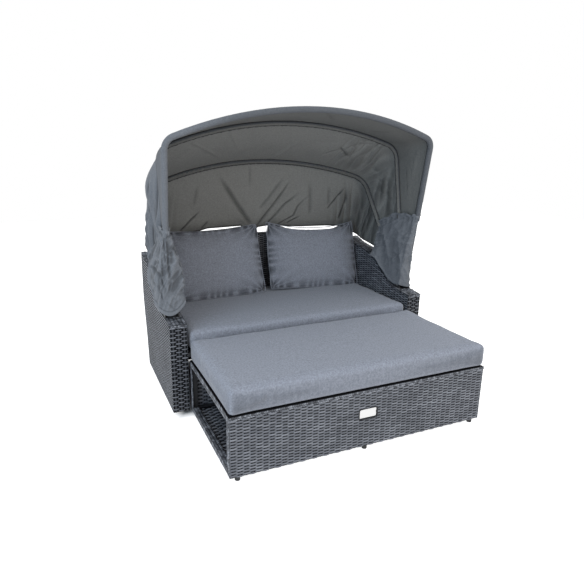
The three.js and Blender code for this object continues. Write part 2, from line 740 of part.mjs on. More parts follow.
add('hood_front_panel', hoodPanel(bows.front, bows.middle, hoodRows[0], 1, sideSwells.front), 'hood');
add('hood_middle_panel',
  hoodPanel(bows.middle, bows.rear, hoodRows[1], sideFolds, sideSwells.middle), 'hood');
add('hood_rear_panel', rearPanel(hoodRows[2]), 'hood');
const hemTop = backTopAt(tiePlace) + hemLift + tieWidth / 2;
add('hem_tie', block([tiePlace - tieWidth / 2, tiePlace + tieWidth / 2],
  [rearTop + gap, rearTop + gap + cloth], [hemTop - tieHeight, hemTop]), 'hood');

// Skirt: a soft bag round the three legs, from the end of the hood's sides to the arm's top
function skirt(hem) {
  const tilts = [bows.front.tilt + skirtLead, bows.front.tilt, bows.middle.tilt, bows.rear.tilt,
    bows.rear.tilt - skirtLead];
  const topLine = tilts.map(degrees).map((tilt) => v2(pivot.x - (skirtTop - gap) * Math.sin(tilt),
    pivot.y + (skirtTop - gap) * Math.cos(tilt)));
  const legs = [bows.front.half, bows.rear.half];
  const bagMiddle = sofaHalf - skirtInset;
  const hemAt = (q) => {
    const place = q * (hem.depths.length - 1);
    const i = Math.min(hem.depths.length - 2, Math.floor(place));
    const y = lerp(hem.depths[i], hem.depths[i + 1], place - i);
    return v2(y, armTopAt(y) + lerp(hem.lifts[i], hem.lifts[i + 1], place - i));
  };
  const ring = (s, wall) => {
    const shrink = wall / (hem.depths.at(-1) - hem.depths[0]);
    const column = (q, side) => {
      const within = lerp(shrink, 1 - shrink, q);
      const depth = lerp(topLine[0].x, topLine.at(-1).x, within);
      const at = v2(depth, heightAt(topLine, depth)).lerp(hemAt(within), s);
      const edge = lerp(skirtEdgeShare, 1, 1 - (2 * q - 1) ** skirtEdgePower);
      const fold = skirtFold * Math.sin(2 * Math.PI * skirtFolds * q) * Math.sin(Math.PI * s) ** 2;
      const bulge = Math.sin((Math.PI / 2) * Math.min(1, s / skirtFullShare));
      const half = lerp(skirtTopHalf, skirtHalf, bulge) * edge - wall;
      const middle = lerp(lerp(...legs, q), bagMiddle, Math.min(1, 2 * s));
      return v3(middle + side * (half + fold), at.x, at.y);
    };
    const shares = Array.from({ length: skirtColumns + 1 }, (_, i) => i / skirtColumns);
    return [...shares.map((q) => column(q, 1)), ...shares.toReversed().map((q) => column(q, -1))];
  };
  const steps = Array.from({ length: skirtRows + 1 }, (_, i) => i / skirtRows);
  return roundLoft([...steps.map((s) => ring(s, 0)),
    ...steps.toReversed().map((s) => ring(s, skirtCloth))]);
}

add('right_skirt', skirt(skirtHems.right), 'hood');
add('left_skirt', skirt(skirtHems.left), 'hood').scale.x = -1;

// Footstool frame
const railOut = stoolHalf - inWall;
const postDepths = [stoolFront + inWall, stoolBack - inWall];
const lowRail = [footHeight + inWall, footHeight + inWall + tube];
const highRail = [stoolHeight - deckWall - gap - tube, stoolHeight - deckWall - gap];
const sleeveDepths = [stoolFront + wrapDepth + gap, stoolBack - wrapDepth - gap];

function stoolSideFrame() {
  const outline = rectangle(postDepths, [lowRail[0], highRail[1]]);
  return prismX(outline, railOut - tube, railOut, [inset(outline, tube)]);
}

addPair('stool_side_frame', stoolSideFrame(), 'frame');
const betweenSides = railOut - tube - gap;
const railIn = railOut - tube - inWall; // inner face of the sleeves on the side rails
const deckHalf = railIn - gap;
add('stool_deck_frame', ladder([-deckHalf, deckHalf], postDepths, highRail, stoolBars), 'frame');
const stoolRails = { front: postDepths[0], rear: postDepths[1] - tube };
for (const [place, y] of Object.entries(stoolRails)) {
  add(`stool_${place}_rail`, block([-betweenSides, betweenSides], [y, y + tube], lowRail), 'frame');
}

// Woven front and rear: an outer face with edges that wrap round the posts and the top rail
function stoolFace(y, inwards) {
  const between = (a, b) => [Math.min(a, b), Math.max(a, b)];
  const depths = between(y, y + inwards * wrapDepth);
  const hollow = between(y + inwards * wickerWall, y + inwards * (wrapDepth + overrun));
  return block([-stoolHalf, stoolHalf], depths, [footHeight, stoolHeight])
    .subtract(block([wickerWall - stoolHalf, stoolHalf - wickerWall], hollow,
      [footHeight - overrun, stoolHeight - wickerWall]));
}

function handleHole() {
  const outline = cornerArcs(v2(handleWidth / 2, handleHeight / 2), handleCorner).flat();
  return prismY(outline, stoolFront - overrun, stoolFront + wickerWall + overrun)
    .translate([0, 0, handleCentre]);
}

add('stool_front_wicker', stoolFace(stoolFront, 1).subtract(handleHole()), 'wicker');
add('stool_rear_wicker', stoolFace(stoolBack, -1), 'wicker');
add('stool_deck_weave', block([-deckHalf, deckHalf], sleeveDepths,
  [stoolHeight - deckWall, stoolHeight]), 'wicker');

// Sleeves of weave round the side rails, and the two floor strips that hang on the low rails
function sleeve(rail) {
  const core = block([railIn + wickerWall, railOut + gap],
    [sleeveDepths[0] - overrun, sleeveDepths[1] + overrun], [rail[0] - gap, rail[1] + gap]);
  return block([railIn, stoolHalf], sleeveDepths, [rail[0] - inWall, rail[1] + inWall]).subtract(core);
}

addPair('stool_top_sleeve', sleeve(highRail), 'wicker');
addPair('stool_low_sleeve', sleeve(lowRail), 'wicker');
addPair('stool_floor_weave', block([deckHalf - floorWidth, deckHalf],
  [postDepths[0] + tube + gap, postDepths[1] - tube - gap],
  [lowRail[0] + tube / 2, lowRail[0] + tube / 2 + deckWall]), 'wicker');

// Footstool feet under the low rails
const stoolFootX = betweenSides - stoolFootRadius;
const stoolFootRows = { front: postDepths[0] + stoolFootRadius, rear: postDepths[1] - stoolFootRadius };
for (const [place, y] of Object.entries(stoolFootRows)) {
  addPair(`stool_${place}_foot`, foot(stoolFootRadius, stoolFootX, y), 'plastic');
  add(`stool_${place}_middle_foot`, foot(stoolFootRadius, 0, y), 'plastic');
}

// Cushions: a rounded outline whose sides draw in, in rings from the flat bottom to the crown
function cushionOutline(half, corner, draw) {
  const arcs = cornerArcs(half, corner);
  const drawn = (p) => v2(p.x * (1 - (draw / half.x) * (1 - (p.y / half.y) ** 2)),
    p.y * (1 - (draw / half.y) * (1 - (p.x / half.x) ** 2)));
  return arcs.flatMap((arc, i) => {
    const next = arcs[(i + 1) % arcs.length][0];
    return [...arc, ...cushionSideShares.map((share) => arc.at(-1).clone().lerp(next, share))];
  }).map(drawn);
}

function boxCushion(half, height) {
  const outline = (margin) => cushionOutline(v2(half.x - margin, half.y - margin),
    cushionCorner - margin, cushionDraw);
  const ring = (margin, z) => outline(margin).map((p) => v3(p.x, p.y, z));
  const crown = (share) => outline(cushionEdge).map((p) => v3(
    p.x * share, p.y * share, height + cushionCrown * (1 - share ** 3)));
  const soft = cushionEdge * cushionEdgeShare;
  return loft([
    ring(cushionEdge, 0), ring(soft, soft), ring(0, cushionEdge), ring(0, height - cushionEdge),
    ring(soft, height - soft), ...crownShares.map(crown),
  ]);
}

const cushionHalf = innerHalf - cushionSide;
const seatCushionBack = rearAt(seatHeight) - backThickness - gap;
const seatCushionHalf = v2(cushionHalf, (seatCushionBack - seatCushionFront) / 2);
add('seat_cushion', boxCushion(seatCushionHalf, seatCushionHeight)
  .translate([0, seatCushionFront + seatCushionHalf.y, seatHeight + gap]), 'cushion');
const stoolCushionFront = -reachFront;
const stoolCushionHalf = v2(cushionHalf, (-stoolCushionBack - stoolCushionFront) / 2);
add('stool_cushion', boxCushion(stoolCushionHalf, stoolCushionHeight)
  .translate([0, stoolCushionFront + stoolCushionHalf.y, stoolHeight + gap]), 'cushion');

// Pillows: two crowned faces that meet in a seam, drawn in between pulled corners
function pillow() {
  const half = v2((innerHalf - pillowFree) / 2, pillowHeight / 2);
  const outline = cushionOutline(half, pillowCorner, pillowDraw);
  const ring = (share, side) => outline.map((p) => {
    const swell = Math.cos((Math.PI / 2) * share ** pillowFlatness) ** pillowFullness;
    return v3(p.x * share, side * swell * (pillowThickness / 2), p.y * share);
  });
  return loft([
    ...pillowShares.map((s) => ring(s, -1)), ring(1, 0), ...pillowShares.toReversed().map((s) => ring(s, 1)),
  ]);
}

// A leaning pillow is lowered to the seat cushion and pushed back to the woven back.
for (const [name, place] of Object.entries(pillowPlaces)) {
  const leaning = pillow().rotate([0, place.turn, 0]).rotate([-pillowLean, 0, 0]);
  const { position } = surface(leaning).attributes;
  const points = Array.from({ length: position.count }, (_, i) => (
    new THREE.Vector3().fromBufferAttribute(position, i)));
  const up = seatHeight + gap + seatCushionHeight + cushionCrown + gap
    - Math.min(...points.map((p) => p.z));
  const back = Math.min(...points.map((p) => rearAt(p.z + up) - p.y)) - backThickness - gap;
  const middle = place.side * (innerHalf / 2) + place.shift;
  add(`${name}_pillow`, leaning.translate([middle, back, up]), 'cushion');
}

daybed.position.y = (reachFront - reachBack) / 2;

export default daybed;
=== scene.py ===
"""Woven outdoor daybed with a folding canopy: the visual pieces over its CAD frame.

Metres, +Z up, the front faces -Y. Run as a script it builds the whole scene. Registered as an
add-on it offers each piece as an operator in the sidebar of the 3D view.
"""

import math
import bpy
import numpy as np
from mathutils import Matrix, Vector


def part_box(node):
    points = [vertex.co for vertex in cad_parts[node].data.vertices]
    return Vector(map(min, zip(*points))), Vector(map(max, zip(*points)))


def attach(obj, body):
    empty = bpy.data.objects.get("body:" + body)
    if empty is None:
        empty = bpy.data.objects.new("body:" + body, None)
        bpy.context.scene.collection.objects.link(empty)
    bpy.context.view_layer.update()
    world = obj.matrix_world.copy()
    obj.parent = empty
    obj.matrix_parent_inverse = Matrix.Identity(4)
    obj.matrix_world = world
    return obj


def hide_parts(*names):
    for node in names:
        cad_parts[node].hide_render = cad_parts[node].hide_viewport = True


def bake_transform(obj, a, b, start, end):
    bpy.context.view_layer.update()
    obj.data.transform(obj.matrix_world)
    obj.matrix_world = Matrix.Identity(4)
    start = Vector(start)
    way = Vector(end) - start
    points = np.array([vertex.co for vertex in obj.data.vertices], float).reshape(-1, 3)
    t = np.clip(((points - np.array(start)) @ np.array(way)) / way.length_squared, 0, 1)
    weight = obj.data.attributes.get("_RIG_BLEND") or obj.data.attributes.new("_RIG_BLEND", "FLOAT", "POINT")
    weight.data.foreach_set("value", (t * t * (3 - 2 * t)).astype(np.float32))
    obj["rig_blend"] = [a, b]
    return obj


bl_info = {
    "name": "Woven Daybed",
    "version": (1, 0, 0),
    "blender": (4, 5, 0),
    "location": "3D View > Sidebar > Daybed",
    "description": "Builds the weave, cushions, hood cloth and stage of a woven daybed",
    "category": "Object",
}

import bpy
import numpy as np
from mathutils import Euler

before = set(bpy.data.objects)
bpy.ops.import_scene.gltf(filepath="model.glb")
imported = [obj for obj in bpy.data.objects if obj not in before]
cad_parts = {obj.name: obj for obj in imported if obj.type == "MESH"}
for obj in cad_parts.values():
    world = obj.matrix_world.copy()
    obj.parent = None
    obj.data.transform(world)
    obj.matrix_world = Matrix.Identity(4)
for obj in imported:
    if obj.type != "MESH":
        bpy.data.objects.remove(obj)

# The frame's own places, in metres. ARM_FRONT is the Y of the arms' front faces, and the depths
# below are measured from it. ARM_TOP and ARM_CORNER hold depths and heights, REAR_EDGE heights
# and depths. PIVOT is a depth and a height, and a bow's tilt is in degrees.
ARM_FRONT = -0.0625
SOFA_HALF = 0.7
INNER_HALF = 0.62
ARM_TOP = ((0, 0.458), (0.150, 0.473), (0.1806, 0.4852), (0.2194, 0.5116), (0.2887, 0.5603),
           (0.3484, 0.598), (0.4121, 0.625), (0.4713, 0.6354), (0.532, 0.6429), (0.5937, 0.6537),
           (0.66, 0.676))
REAR_EDGE = ((0.02, 0.632), (0.1906, 0.6554), (0.3086, 0.6853), (0.4202, 0.705), (0.5186, 0.7014),
             (0.6301, 0.697), (0.74, 0.697))
ARM_CORNER = ((0.6929, 0.6556), (0.6805, 0.6709), (0.66, 0.676))
FOOT = 0.02
BACK_THICKNESS = 0.046
BACK_SIDE = 0.69
BACK_ARCH = 0.048
STOOL_HALF = 0.612
STOOL_FRONT = -0.577
STOOL_BACK = -0.008
STOOL_TOP = 0.28
PIVOT = (0.117, 0.4917)
BOWS = {
    "front": {"tilt": 9.0, "top": 0.930, "crown": 1.790, "corner": 0.060, "half": 0.686},
    "middle": {"tilt": -10.5, "top": 0.888, "crown": 1.790, "corner": 0.090, "half": 0.667},
    "rear": {"tilt": -36.5, "top": 0.838, "crown": 1.560, "corner": 0.110, "half": 0.648},
}
BOW_RADIUS = 0.008
SKIRT_TOP = 0.42
# Middle of the stool's handle hole, half of what is cut from the weave round it, half of its rim
# and the radius of the rim's tube
HANDLE_HEIGHT = 0.173
HANDLE_CUT = (0.046, 0.026)
HANDLE_RIM = (0.0445, 0.0235)
HANDLE_TUBE = 0.0028
# The stool's floor strips: where one starts beside the middle, its width and its height
STRIP_START = 0.285
STRIP_WIDTH = 0.30
STRIP_TOP = 0.0374


# Settings

def length(name, text, default):
    return bpy.props.FloatProperty(name=name, description=text, default=default, min=0.0,
                                   unit="LENGTH", subtype="DISTANCE")


def colour(name, text, default):
    return bpy.props.FloatVectorProperty(name=name, description=text, default=default, size=3,
                                         min=0.0, max=1.0, subtype="COLOR")


class DaybedWeaveSettings(bpy.types.PropertyGroup):
    arm_row: length("Arm row", "Pitch of the strand rows on arms and back", 0.0065)
    stool_row: length("Stool row", "Pitch of the strand rows on the footstool", 0.0065)
    stake: length("Stake pitch", "Distance between two upright stakes", 0.027)
    relief: length("Relief", "How far a strand swings in and out of the face", 0.0021)
    crown: length("Crown", "How far the middle of a strand stands over its edges", 0.0007)
    strand: colour("Strand", "Colour of the strands", (0.073, 0.077, 0.088))
    strand_light: colour("Light strand", "Colour of the lighter strands", (0.216, 0.224, 0.247))
    # Painted shade: this near-black colour behind the strands, on the stakes and where strands dive, stands
    # for the shade there
    base: colour("Gaps", "Colour behind the strands", (0.006, 0.006, 0.007))


class DaybedCushionSettings(bpy.types.PropertyGroup):
    edge: length("Edge", "Rounding of the box cushions' edges", 0.026)
    corner: length("Corner", "Rounding of the box cushions' corners", 0.020)
    voxel: length("Voxel", "Size of the remesh before a cushion is filled", 0.009)
    seam: length("Seam", "Radius of the seams' piping", 0.0022)
    fabric: colour("Fabric", "Colour of the cushions", (0.118, 0.127, 0.149))
    fabric_light: colour("Light yarn", "Colour of the lighter yarns", (0.262, 0.278, 0.322))


class DaybedHoodSettings(bpy.types.PropertyGroup):
    cloth: length("Cloth", "Thickness of the hood cloth", 0.0012)
    sleeve: length("Sleeve", "Radius of the sleeve on the front bow", 0.0140)
    pocket: length("Pocket", "Radius of the pockets on the other bows", 0.0115)
    seam: length("Seam", "Radius of the stitched seams", 0.0020)
    # Painted light: the hood is one cloth; its outside colour is darker and bluer and its inside one lighter
    # and warmer, for the sky light outside and the warm light from below inside
    fabric: colour("Outside", "Colour of the hood's outside", (0.092, 0.098, 0.109))
    fabric_light: colour("Outside light yarn", "Colour of its lighter yarns", (0.150, 0.158, 0.172))
    inside: colour("Inside", "Colour of the hood's inside", (0.134, 0.134, 0.128))
    inside_light: colour("Inside light yarn", "Colour of its lighter yarns", (0.212, 0.212, 0.203))
    # The seams are near-black tubes: partly stitching, partly a painted shadow along the seams and the
    # pockets' edges
    stitch: colour("Stitches", "Colour of the seams", (0.020, 0.020, 0.021))


class DaybedStageSettings(bpy.types.PropertyGroup):
    floor: colour("Floor", "Colour of the floor", (0.55, 0.55, 0.55))
    floor_glow: bpy.props.FloatProperty(name="Floor glow", min=0.0, default=0.90,
                                        description="Light that the floor gives, like a light table")
    floor_size: length("Floor size", "Side of the floor", 14.0)
    light_power: bpy.props.FloatProperty(name="Light", description="Power of the key light",
                                         default=36.0, min=0.0, unit="POWER")


# Helpers

# Points nearer than this are merged
MERGE = 1e-5


def alone(obj):
    """Makes this the one selected object."""
    bpy.ops.object.select_all(action="DESELECT")
    obj.select_set(True)
    bpy.context.view_layer.objects.active = obj
    return obj


def coords(obj):
    flat = np.empty(len(obj.data.vertices) * 3)
    obj.data.vertices.foreach_get("co", flat)
    return flat.reshape(-1, 3)


def set_coords(obj, co):
    obj.data.vertices.foreach_set("co", np.ascontiguousarray(co, dtype=np.float32).ravel())
    obj.data.update()
    return obj


def centres(obj):
    flat = np.empty(len(obj.data.polygons) * 3)
    obj.data.polygons.foreach_get("center", flat)
    return flat.reshape(-1, 3)


def apply_all(obj):
    alone(obj)
    for modifier in list(obj.modifiers):
        bpy.ops.object.modifier_apply(modifier=modifier.name)
    return obj


def grid(name, columns, rows):
    """A flat grid from (0, 0) to (1, 1)."""
    bpy.ops.object.select_all(action="DESELECT")
    bpy.ops.mesh.primitive_grid_add(x_subdivisions=columns, y_subdivisions=rows, size=1,
                                    location=(0, 0, 0))
    obj = bpy.context.object
    obj.name = name
    obj.data.name = name
    return set_coords(obj, coords(obj) + (0.5, 0.5, 0))


def laid(obj, place):
    """Moves each point to place(u, v, w), with arrays in and arrays out."""
    co = coords(obj)
    return set_coords(obj, np.stack(place(co[:, 0], co[:, 1], co[:, 2]), axis=1))


def array(obj, count, offset):
    modifier = obj.modifiers.new("array", "ARRAY")
    modifier.count = count
    modifier.use_relative_offset = False
    modifier.use_constant_offset = True
    modifier.constant_offset_displace = offset
    return apply_all(obj)


def joined(name, objects):
    bpy.ops.object.select_all(action="DESELECT")
    for obj in objects:
        obj.select_set(True)
    bpy.context.view_layer.objects.active = objects[0]
    if len(objects) > 1:
        bpy.ops.object.join()
    obj = bpy.context.object
    obj.name = name
    obj.data.name = name
    return obj


def trimmed(obj, keep):
    """Deletes the faces whose centre isn't kept."""
    alone(obj)
    middle = centres(obj)
    drop = ~keep(middle[:, 0], middle[:, 1])
    obj.data.edges.foreach_set("select", np.zeros(len(obj.data.edges), dtype=bool))
    obj.data.vertices.foreach_set("select", np.zeros(len(obj.data.vertices), dtype=bool))
    obj.data.polygons.foreach_set("select", drop)
    bpy.ops.object.mode_set(mode="EDIT")
    bpy.ops.mesh.select_mode(type="FACE")
    bpy.ops.mesh.delete(type="FACE")
    bpy.ops.object.mode_set(mode="OBJECT")
    return obj


def smooth(obj, angle=None):
    alone(obj)
    if angle is None:
        bpy.ops.object.shade_smooth()
    else:
        bpy.ops.object.shade_smooth_by_angle(angle=math.radians(angle))
    return obj


def outwards(obj):
    alone(obj)
    bpy.ops.object.mode_set(mode="EDIT")
    bpy.ops.mesh.select_all(action="SELECT")
    bpy.ops.mesh.normals_make_consistent(inside=False)
    bpy.ops.object.mode_set(mode="OBJECT")
    return obj


def point_values(obj, name, values):
    attribute = obj.data.attributes.get(name) or obj.data.attributes.new(name, "FLOAT", "POINT")
    attribute.data.foreach_set("value", np.ascontiguousarray(values, dtype=np.float32))
    return obj


def chance(a, b=0.0):
    """The same random share from 0 to 1 for the same numbers."""
    return np.mod(np.sin(a * 12.9898 + b * 78.233 + 4.1) * 43758.5453, 1.0)


def drift(x, y, scale):
    """Soft hills and hollows from -1 to 1."""
    x, y = x / scale, y / scale
    return (np.sin(1.7 * x + 0.6 * y + 0.3) + np.sin(-0.9 * x + 1.9 * y + 1.7)
            + np.sin(2.9 * x - 1.3 * y + 4.1) * 0.6 + np.sin(0.7 * x + 3.1 * y + 2.2) * 0.6) / 3.2


def ease(t):
    t = np.clip(t, 0, 1)
    return t * t * (3 - 2 * t)


def thickened(obj, thickness, offset=0.0, inner=0):
    """Gives a sheet its thickness. inner is the index of its inner side's material."""
    modifier = obj.modifiers.new("thickness", "SOLIDIFY")
    modifier.thickness = thickness
    modifier.offset = offset
    modifier.material_offset = inner
    return apply_all(obj)


def tube(name, line, radii, sides=10, closed=False):
    """A round tube through points. radii is one radius or one for each point."""
    line = np.asarray(line, float)
    n = len(line)
    steps = n if closed else n - 1
    radii = np.broadcast_to(np.asarray(radii, float), (n,))
    if closed:
        ahead = np.roll(line, -1, axis=0) - np.roll(line, 1, axis=0)
    else:
        ahead = np.gradient(line, axis=0)
    ahead /= np.linalg.norm(ahead, axis=1)[:, None]
    helper = np.where(np.abs(ahead[:, 2:3]) < 0.9, [[0, 0, 1.0]], [[0, 1.0, 0]])
    side = np.cross(ahead, np.broadcast_to(helper, ahead.shape))
    for i in range(1, n):
        side[i] = side[i - 1] - ahead[i] * np.dot(side[i - 1], ahead[i])
    side /= np.linalg.norm(side, axis=1)[:, None]
    up = np.cross(side, ahead)
    obj = grid(name, steps, sides)

    def place(u, v, w):
        i = np.rint(u * steps).astype(int) % n
        turn = 2 * math.pi * v
        at = line[i] + radii[i][:, None] * (np.cos(turn)[:, None] * side[i]
                                            + np.sin(turn)[:, None] * up[i])
        return at.T
    laid(obj, place)
    alone(obj)
    bpy.ops.object.mode_set(mode="EDIT")
    bpy.ops.mesh.select_mode(type="VERT")
    bpy.ops.mesh.select_all(action="SELECT")
    bpy.ops.mesh.remove_doubles(threshold=MERGE)
    bpy.ops.mesh.select_all(action="DESELECT")
    bpy.ops.mesh.select_non_manifold()
    bpy.ops.mesh.fill_holes(sides=0)
    bpy.ops.object.mode_set(mode="OBJECT")
    outwards(obj)
    return smooth(obj)


# Materials

def new_material(name):
    material = bpy.data.materials.new(name)
    material.use_nodes = True
    return material, material.node_tree.nodes, material.node_tree.links


def socket(group, name, kind, way="INPUT", value=None):
    made = group.interface.new_socket(name=name, in_out=way, socket_type=kind)
    if value is not None:
        made.default_value = value
    return made


def yarn_group():
    """Melange of two yarns: a colour and a bumped normal from object coordinates."""
    group = bpy.data.node_groups.get("Yarn")
    if group:
        return group
    group = bpy.data.node_groups.new("Yarn", "ShaderNodeTree")
    socket(group, "Dark", "NodeSocketColor")
    socket(group, "Light", "NodeSocketColor")
    socket(group, "Strength", "NodeSocketFloat", value=0.3)
    socket(group, "Color", "NodeSocketColor", "OUTPUT")
    socket(group, "Normal", "NodeSocketVector", "OUTPUT")
    nodes, links = group.nodes, group.links
    inputs = nodes.new("NodeGroupInput")
    outputs = nodes.new("NodeGroupOutput")
    place = nodes.new("ShaderNodeTexCoord")
    fine = nodes.new("ShaderNodeTexNoise")
    fine.inputs["Scale"].default_value = 900
    fine.inputs["Detail"].default_value = 1
    broad = nodes.new("ShaderNodeTexNoise")
    broad.inputs["Scale"].default_value = 140
    broad.inputs["Detail"].default_value = 3
    mix = nodes.new("ShaderNodeMath")
    mix.operation = "ADD"
    half = nodes.new("ShaderNodeMath")
    half.operation = "MULTIPLY"
    half.inputs[1].default_value = 0.5
    ramp = nodes.new("ShaderNodeMapRange")
    ramp.inputs["From Min"].default_value = 0.30
    ramp.inputs["From Max"].default_value = 0.70
    colour_mix = nodes.new("ShaderNodeMix")
    colour_mix.data_type = "RGBA"
    bump = nodes.new("ShaderNodeBump")
    bump.inputs["Distance"].default_value = 0.0006
    links.new(place.outputs["Object"], fine.inputs["Vector"])
    links.new(place.outputs["Object"], broad.inputs["Vector"])
    links.new(fine.outputs["Fac"], mix.inputs[0])
    links.new(broad.outputs["Fac"], mix.inputs[1])
    links.new(mix.outputs[0], half.inputs[0])
    links.new(half.outputs[0], ramp.inputs["Value"])
    links.new(ramp.outputs["Result"], colour_mix.inputs["Factor"])
    links.new(inputs.outputs["Dark"], colour_mix.inputs["A"])
    links.new(inputs.outputs["Light"], colour_mix.inputs["B"])
    links.new(colour_mix.outputs["Result"], outputs.inputs["Color"])
    links.new(inputs.outputs["Strength"], bump.inputs["Strength"])
    links.new(fine.outputs["Fac"], bump.inputs["Height"])
    links.new(bump.outputs["Normal"], outputs.inputs["Normal"])
    return group


def fabric(name, dark, light, sheen=0.15):
    found = bpy.data.materials.get(name)
    if found:
        return found
    material, nodes, links = new_material(name)
    shader = nodes["Principled BSDF"]
    yarn = nodes.new("ShaderNodeGroup")
    yarn.node_tree = yarn_group()
    yarn.inputs["Dark"].default_value = (*dark, 1)
    yarn.inputs["Light"].default_value = (*light, 1)
    # Painted shade: a point attribute from 0 to 1 mixes the colour towards a dark copy of it, for the shade
    # in folds and hollows and on shaded faces
    painted_shade = nodes.new("ShaderNodeAttribute")
    painted_shade.attribute_name = "painted_shade"
    painted_shade_mix = nodes.new("ShaderNodeMix")
    painted_shade_mix.data_type = "RGBA"
    painted_shade_mix.inputs["B"].default_value = (*(0.16 * np.array(dark)), 1)
    links.new(painted_shade.outputs["Fac"], painted_shade_mix.inputs["Factor"])
    links.new(yarn.outputs["Color"], painted_shade_mix.inputs["A"])
    links.new(painted_shade_mix.outputs["Result"], shader.inputs["Base Color"])
    links.new(yarn.outputs["Normal"], shader.inputs["Normal"])
    shader.inputs["Roughness"].default_value = 0.95
    shader.inputs["Specular IOR Level"].default_value = 0.15
    shader.inputs["Sheen Weight"].default_value = sheen
    return material


def strand_material(settings):
    """Strands whose own tone attribute picks their colour; below zero it darkens them towards the colour of
    the gaps, a painted shade.
    """
    found = bpy.data.materials.get("strands")
    if found:
        return found
    material, nodes, links = new_material("strands")
    shader = nodes["Principled BSDF"]
    tone = nodes.new("ShaderNodeAttribute")
    tone.attribute_name = "tone"
    mix = nodes.new("ShaderNodeMix")
    mix.data_type = "RGBA"
    mix.inputs["A"].default_value = (*settings.strand, 1)
    mix.inputs["B"].default_value = (*settings.strand_light, 1)
    depth = nodes.new("ShaderNodeMath")
    depth.operation = "ADD"
    depth.inputs[1].default_value = 1.0
    depth.use_clamp = True
    shade = nodes.new("ShaderNodeMix")
    shade.data_type = "RGBA"
    shade.inputs["A"].default_value = (*settings.base, 1)
    links.new(tone.outputs["Fac"], mix.inputs["Factor"])
    links.new(tone.outputs["Fac"], depth.inputs[0])
    links.new(depth.outputs[0], shade.inputs["Factor"])
    links.new(mix.outputs["Result"], shade.inputs["B"])
    links.new(shade.outputs["Result"], shader.inputs["Base Color"])
    shader.inputs["Roughness"].default_value = 0.55
    shader.inputs["Specular IOR Level"].default_value = 0.20
    return material


def plain(name, base, roughness, metallic=0.0, specular=0.5):
    found = bpy.data.materials.get(name)
    if found:
        return found
    material, nodes, _ = new_material(name)
    shader = nodes["Principled BSDF"]
    shader.inputs["Base Color"].default_value = (*base, 1)
    shader.inputs["Roughness"].default_value = roughness
    shader.inputs["Metallic"].default_value = metallic
    shader.inputs["Specular IOR Level"].default_value = specular
    return material


def paint(obj, *materials):
    obj.data.materials.clear()
    for material in materials:
        obj.data.materials.append(material)
    return obj


# Weave

# What sets each woven face apart from the plain weave, in the words of weave(). Their light and
# stake_tone are painted light and shade: the same strands and stakes lighter or darker on each
# face, by how light falls on it
LOOKS = {
    "arm_outside": {"rows": 2.3, "fill": 0.38, "rise": 0.25, "light": 3.0, "swings": 0.05,
                    "stake_tone": -1.0, "speckle": 0.08},
    "arm_inside": {"light": 1.2, "stake_tone": -0.9, "speckle": 0.7},
    "arm_front": {"rows": 1.65, "fill": 0.5, "rise": 0.0, "light": 0.8},
    "stool_face": {"fill": 0.95, "rise": 0.55, "stake_tone": -0.75},
    "stool_inside": {"rows": 1.5},
    "stool_floor": {"rows": 2.0, "fill": 0.7, "rise": 0.5, "light": 2.2},
}
# Of each plaited edge: its columns and its pitch
PLAITS = {
    "arm_rim": (2, 0.0085),
    "arm_top": (5, 0.0125),
    "back_top": (4, 0.0105),
    "stool_edge": (2, 0.0100),
    "stool_wrap": (2, 0.0125),
    "stool_rail": (2, 0.0125),
    "stool_rail_top": (2, 0.0125),
}
PLAIT_RISE = 0.0022
# Width of the plaits along the upper edges of the arms' fronts and of the stool
RIM = 0.016
# Width of the plaits on the stool's corners, and heights and widths of those on its side rails
WRAP = 0.032
RAILS = ((0.02, 0.0266), (0.252, 0.028))


def weave(name, width, height, row, settings, rows=1.0, fill=0.90, rise=0.4, light=1.0,
          swings=1.0, stake_tone=-0.6, speckle=0.5):
    """A flat piece of plain weave from (0, 0) to (width, height), with its relief along W.
    rows scales the row, fill is the share of it that a strand covers, rise how far the strands
    lie out, light scales their tone as a painted light and shade, swings how far they go in and
    out, and speckle is how much their tones differ. stake_tone darkens the stakes as painted shade."""
    row = row * rows
    stake = settings.stake
    period = 2 * stake
    columns = math.ceil(width / period)
    steps = 8
    strands, tones = [], []
    for i in range(2):
        strand = grid(name, columns * steps, 2)
        at = coords(strand)
        along = at[:, 0] * columns * period
        across = 2 * at[:, 1] - 1
        swing = np.cos(2 * math.pi * (along / period + 0.25 + i / 2))
        dash = np.floor(along / period + 0.5 + i / 2)
        up = (i + 0.5) * row + across / 2 * row * fill * (1 + 0.22 * swings * swing)
        out = settings.relief * (swings * swing + rise) + settings.crown * (1 - across ** 2)
        strands.append(set_coords(strand, np.column_stack([along, up, out])))
        tones.append((dash, across, ease((-0.20 - swing) / 0.45) * swings, along))
    pairs = math.ceil(height / row / 2)
    face = array(joined(name, strands), pairs, (0, 2 * row, 0))
    dash, across, dive, along = (np.tile(np.concatenate(values), pairs) for values in zip(*tones))
    line = np.repeat(np.arange(2 * pairs), len(dash) // (2 * pairs))
    # Painted light and shade in the tone: a painted highlight on each strand's upper edge, and painted shade
    # on its edges and where it dives behind a stake
    tone = light * (0.20 + speckle * chance(line, dash) ** 1.8
                    + 0.10 * drift(along, line * row, 0.09) + 0.22 * across)
    point_values(face, "tone", tone - 0.22 * across ** 2 - dive)
    stakes = grid(name, 2, max(2, math.ceil(height / 0.014)))
    laid(stakes, lambda u, v, w: (stake * 0.5 + (u - 0.5) * stake * 0.30, v * height,
                                  settings.relief * 0.5 - 0.001 * (2 * u - 1) ** 2))
    array(stakes, math.ceil(width / stake), (stake, 0, 0))
    # Painted shade: the stakes are darkened by stake_tone
    point_values(stakes, "tone", np.full(len(stakes.data.vertices), stake_tone))
    piece = joined(name, [face, stakes])
    co = coords(piece)
    co[:, 1] += 0.0005 * drift(co[:, 0], co[:, 1], 0.03)
    co[:, 2] += 0.0003 * drift(co[:, 1], co[:, 0], 0.02)
    set_coords(piece, co)
    return trimmed(piece, lambda u, v: (u < width) & (v < height))


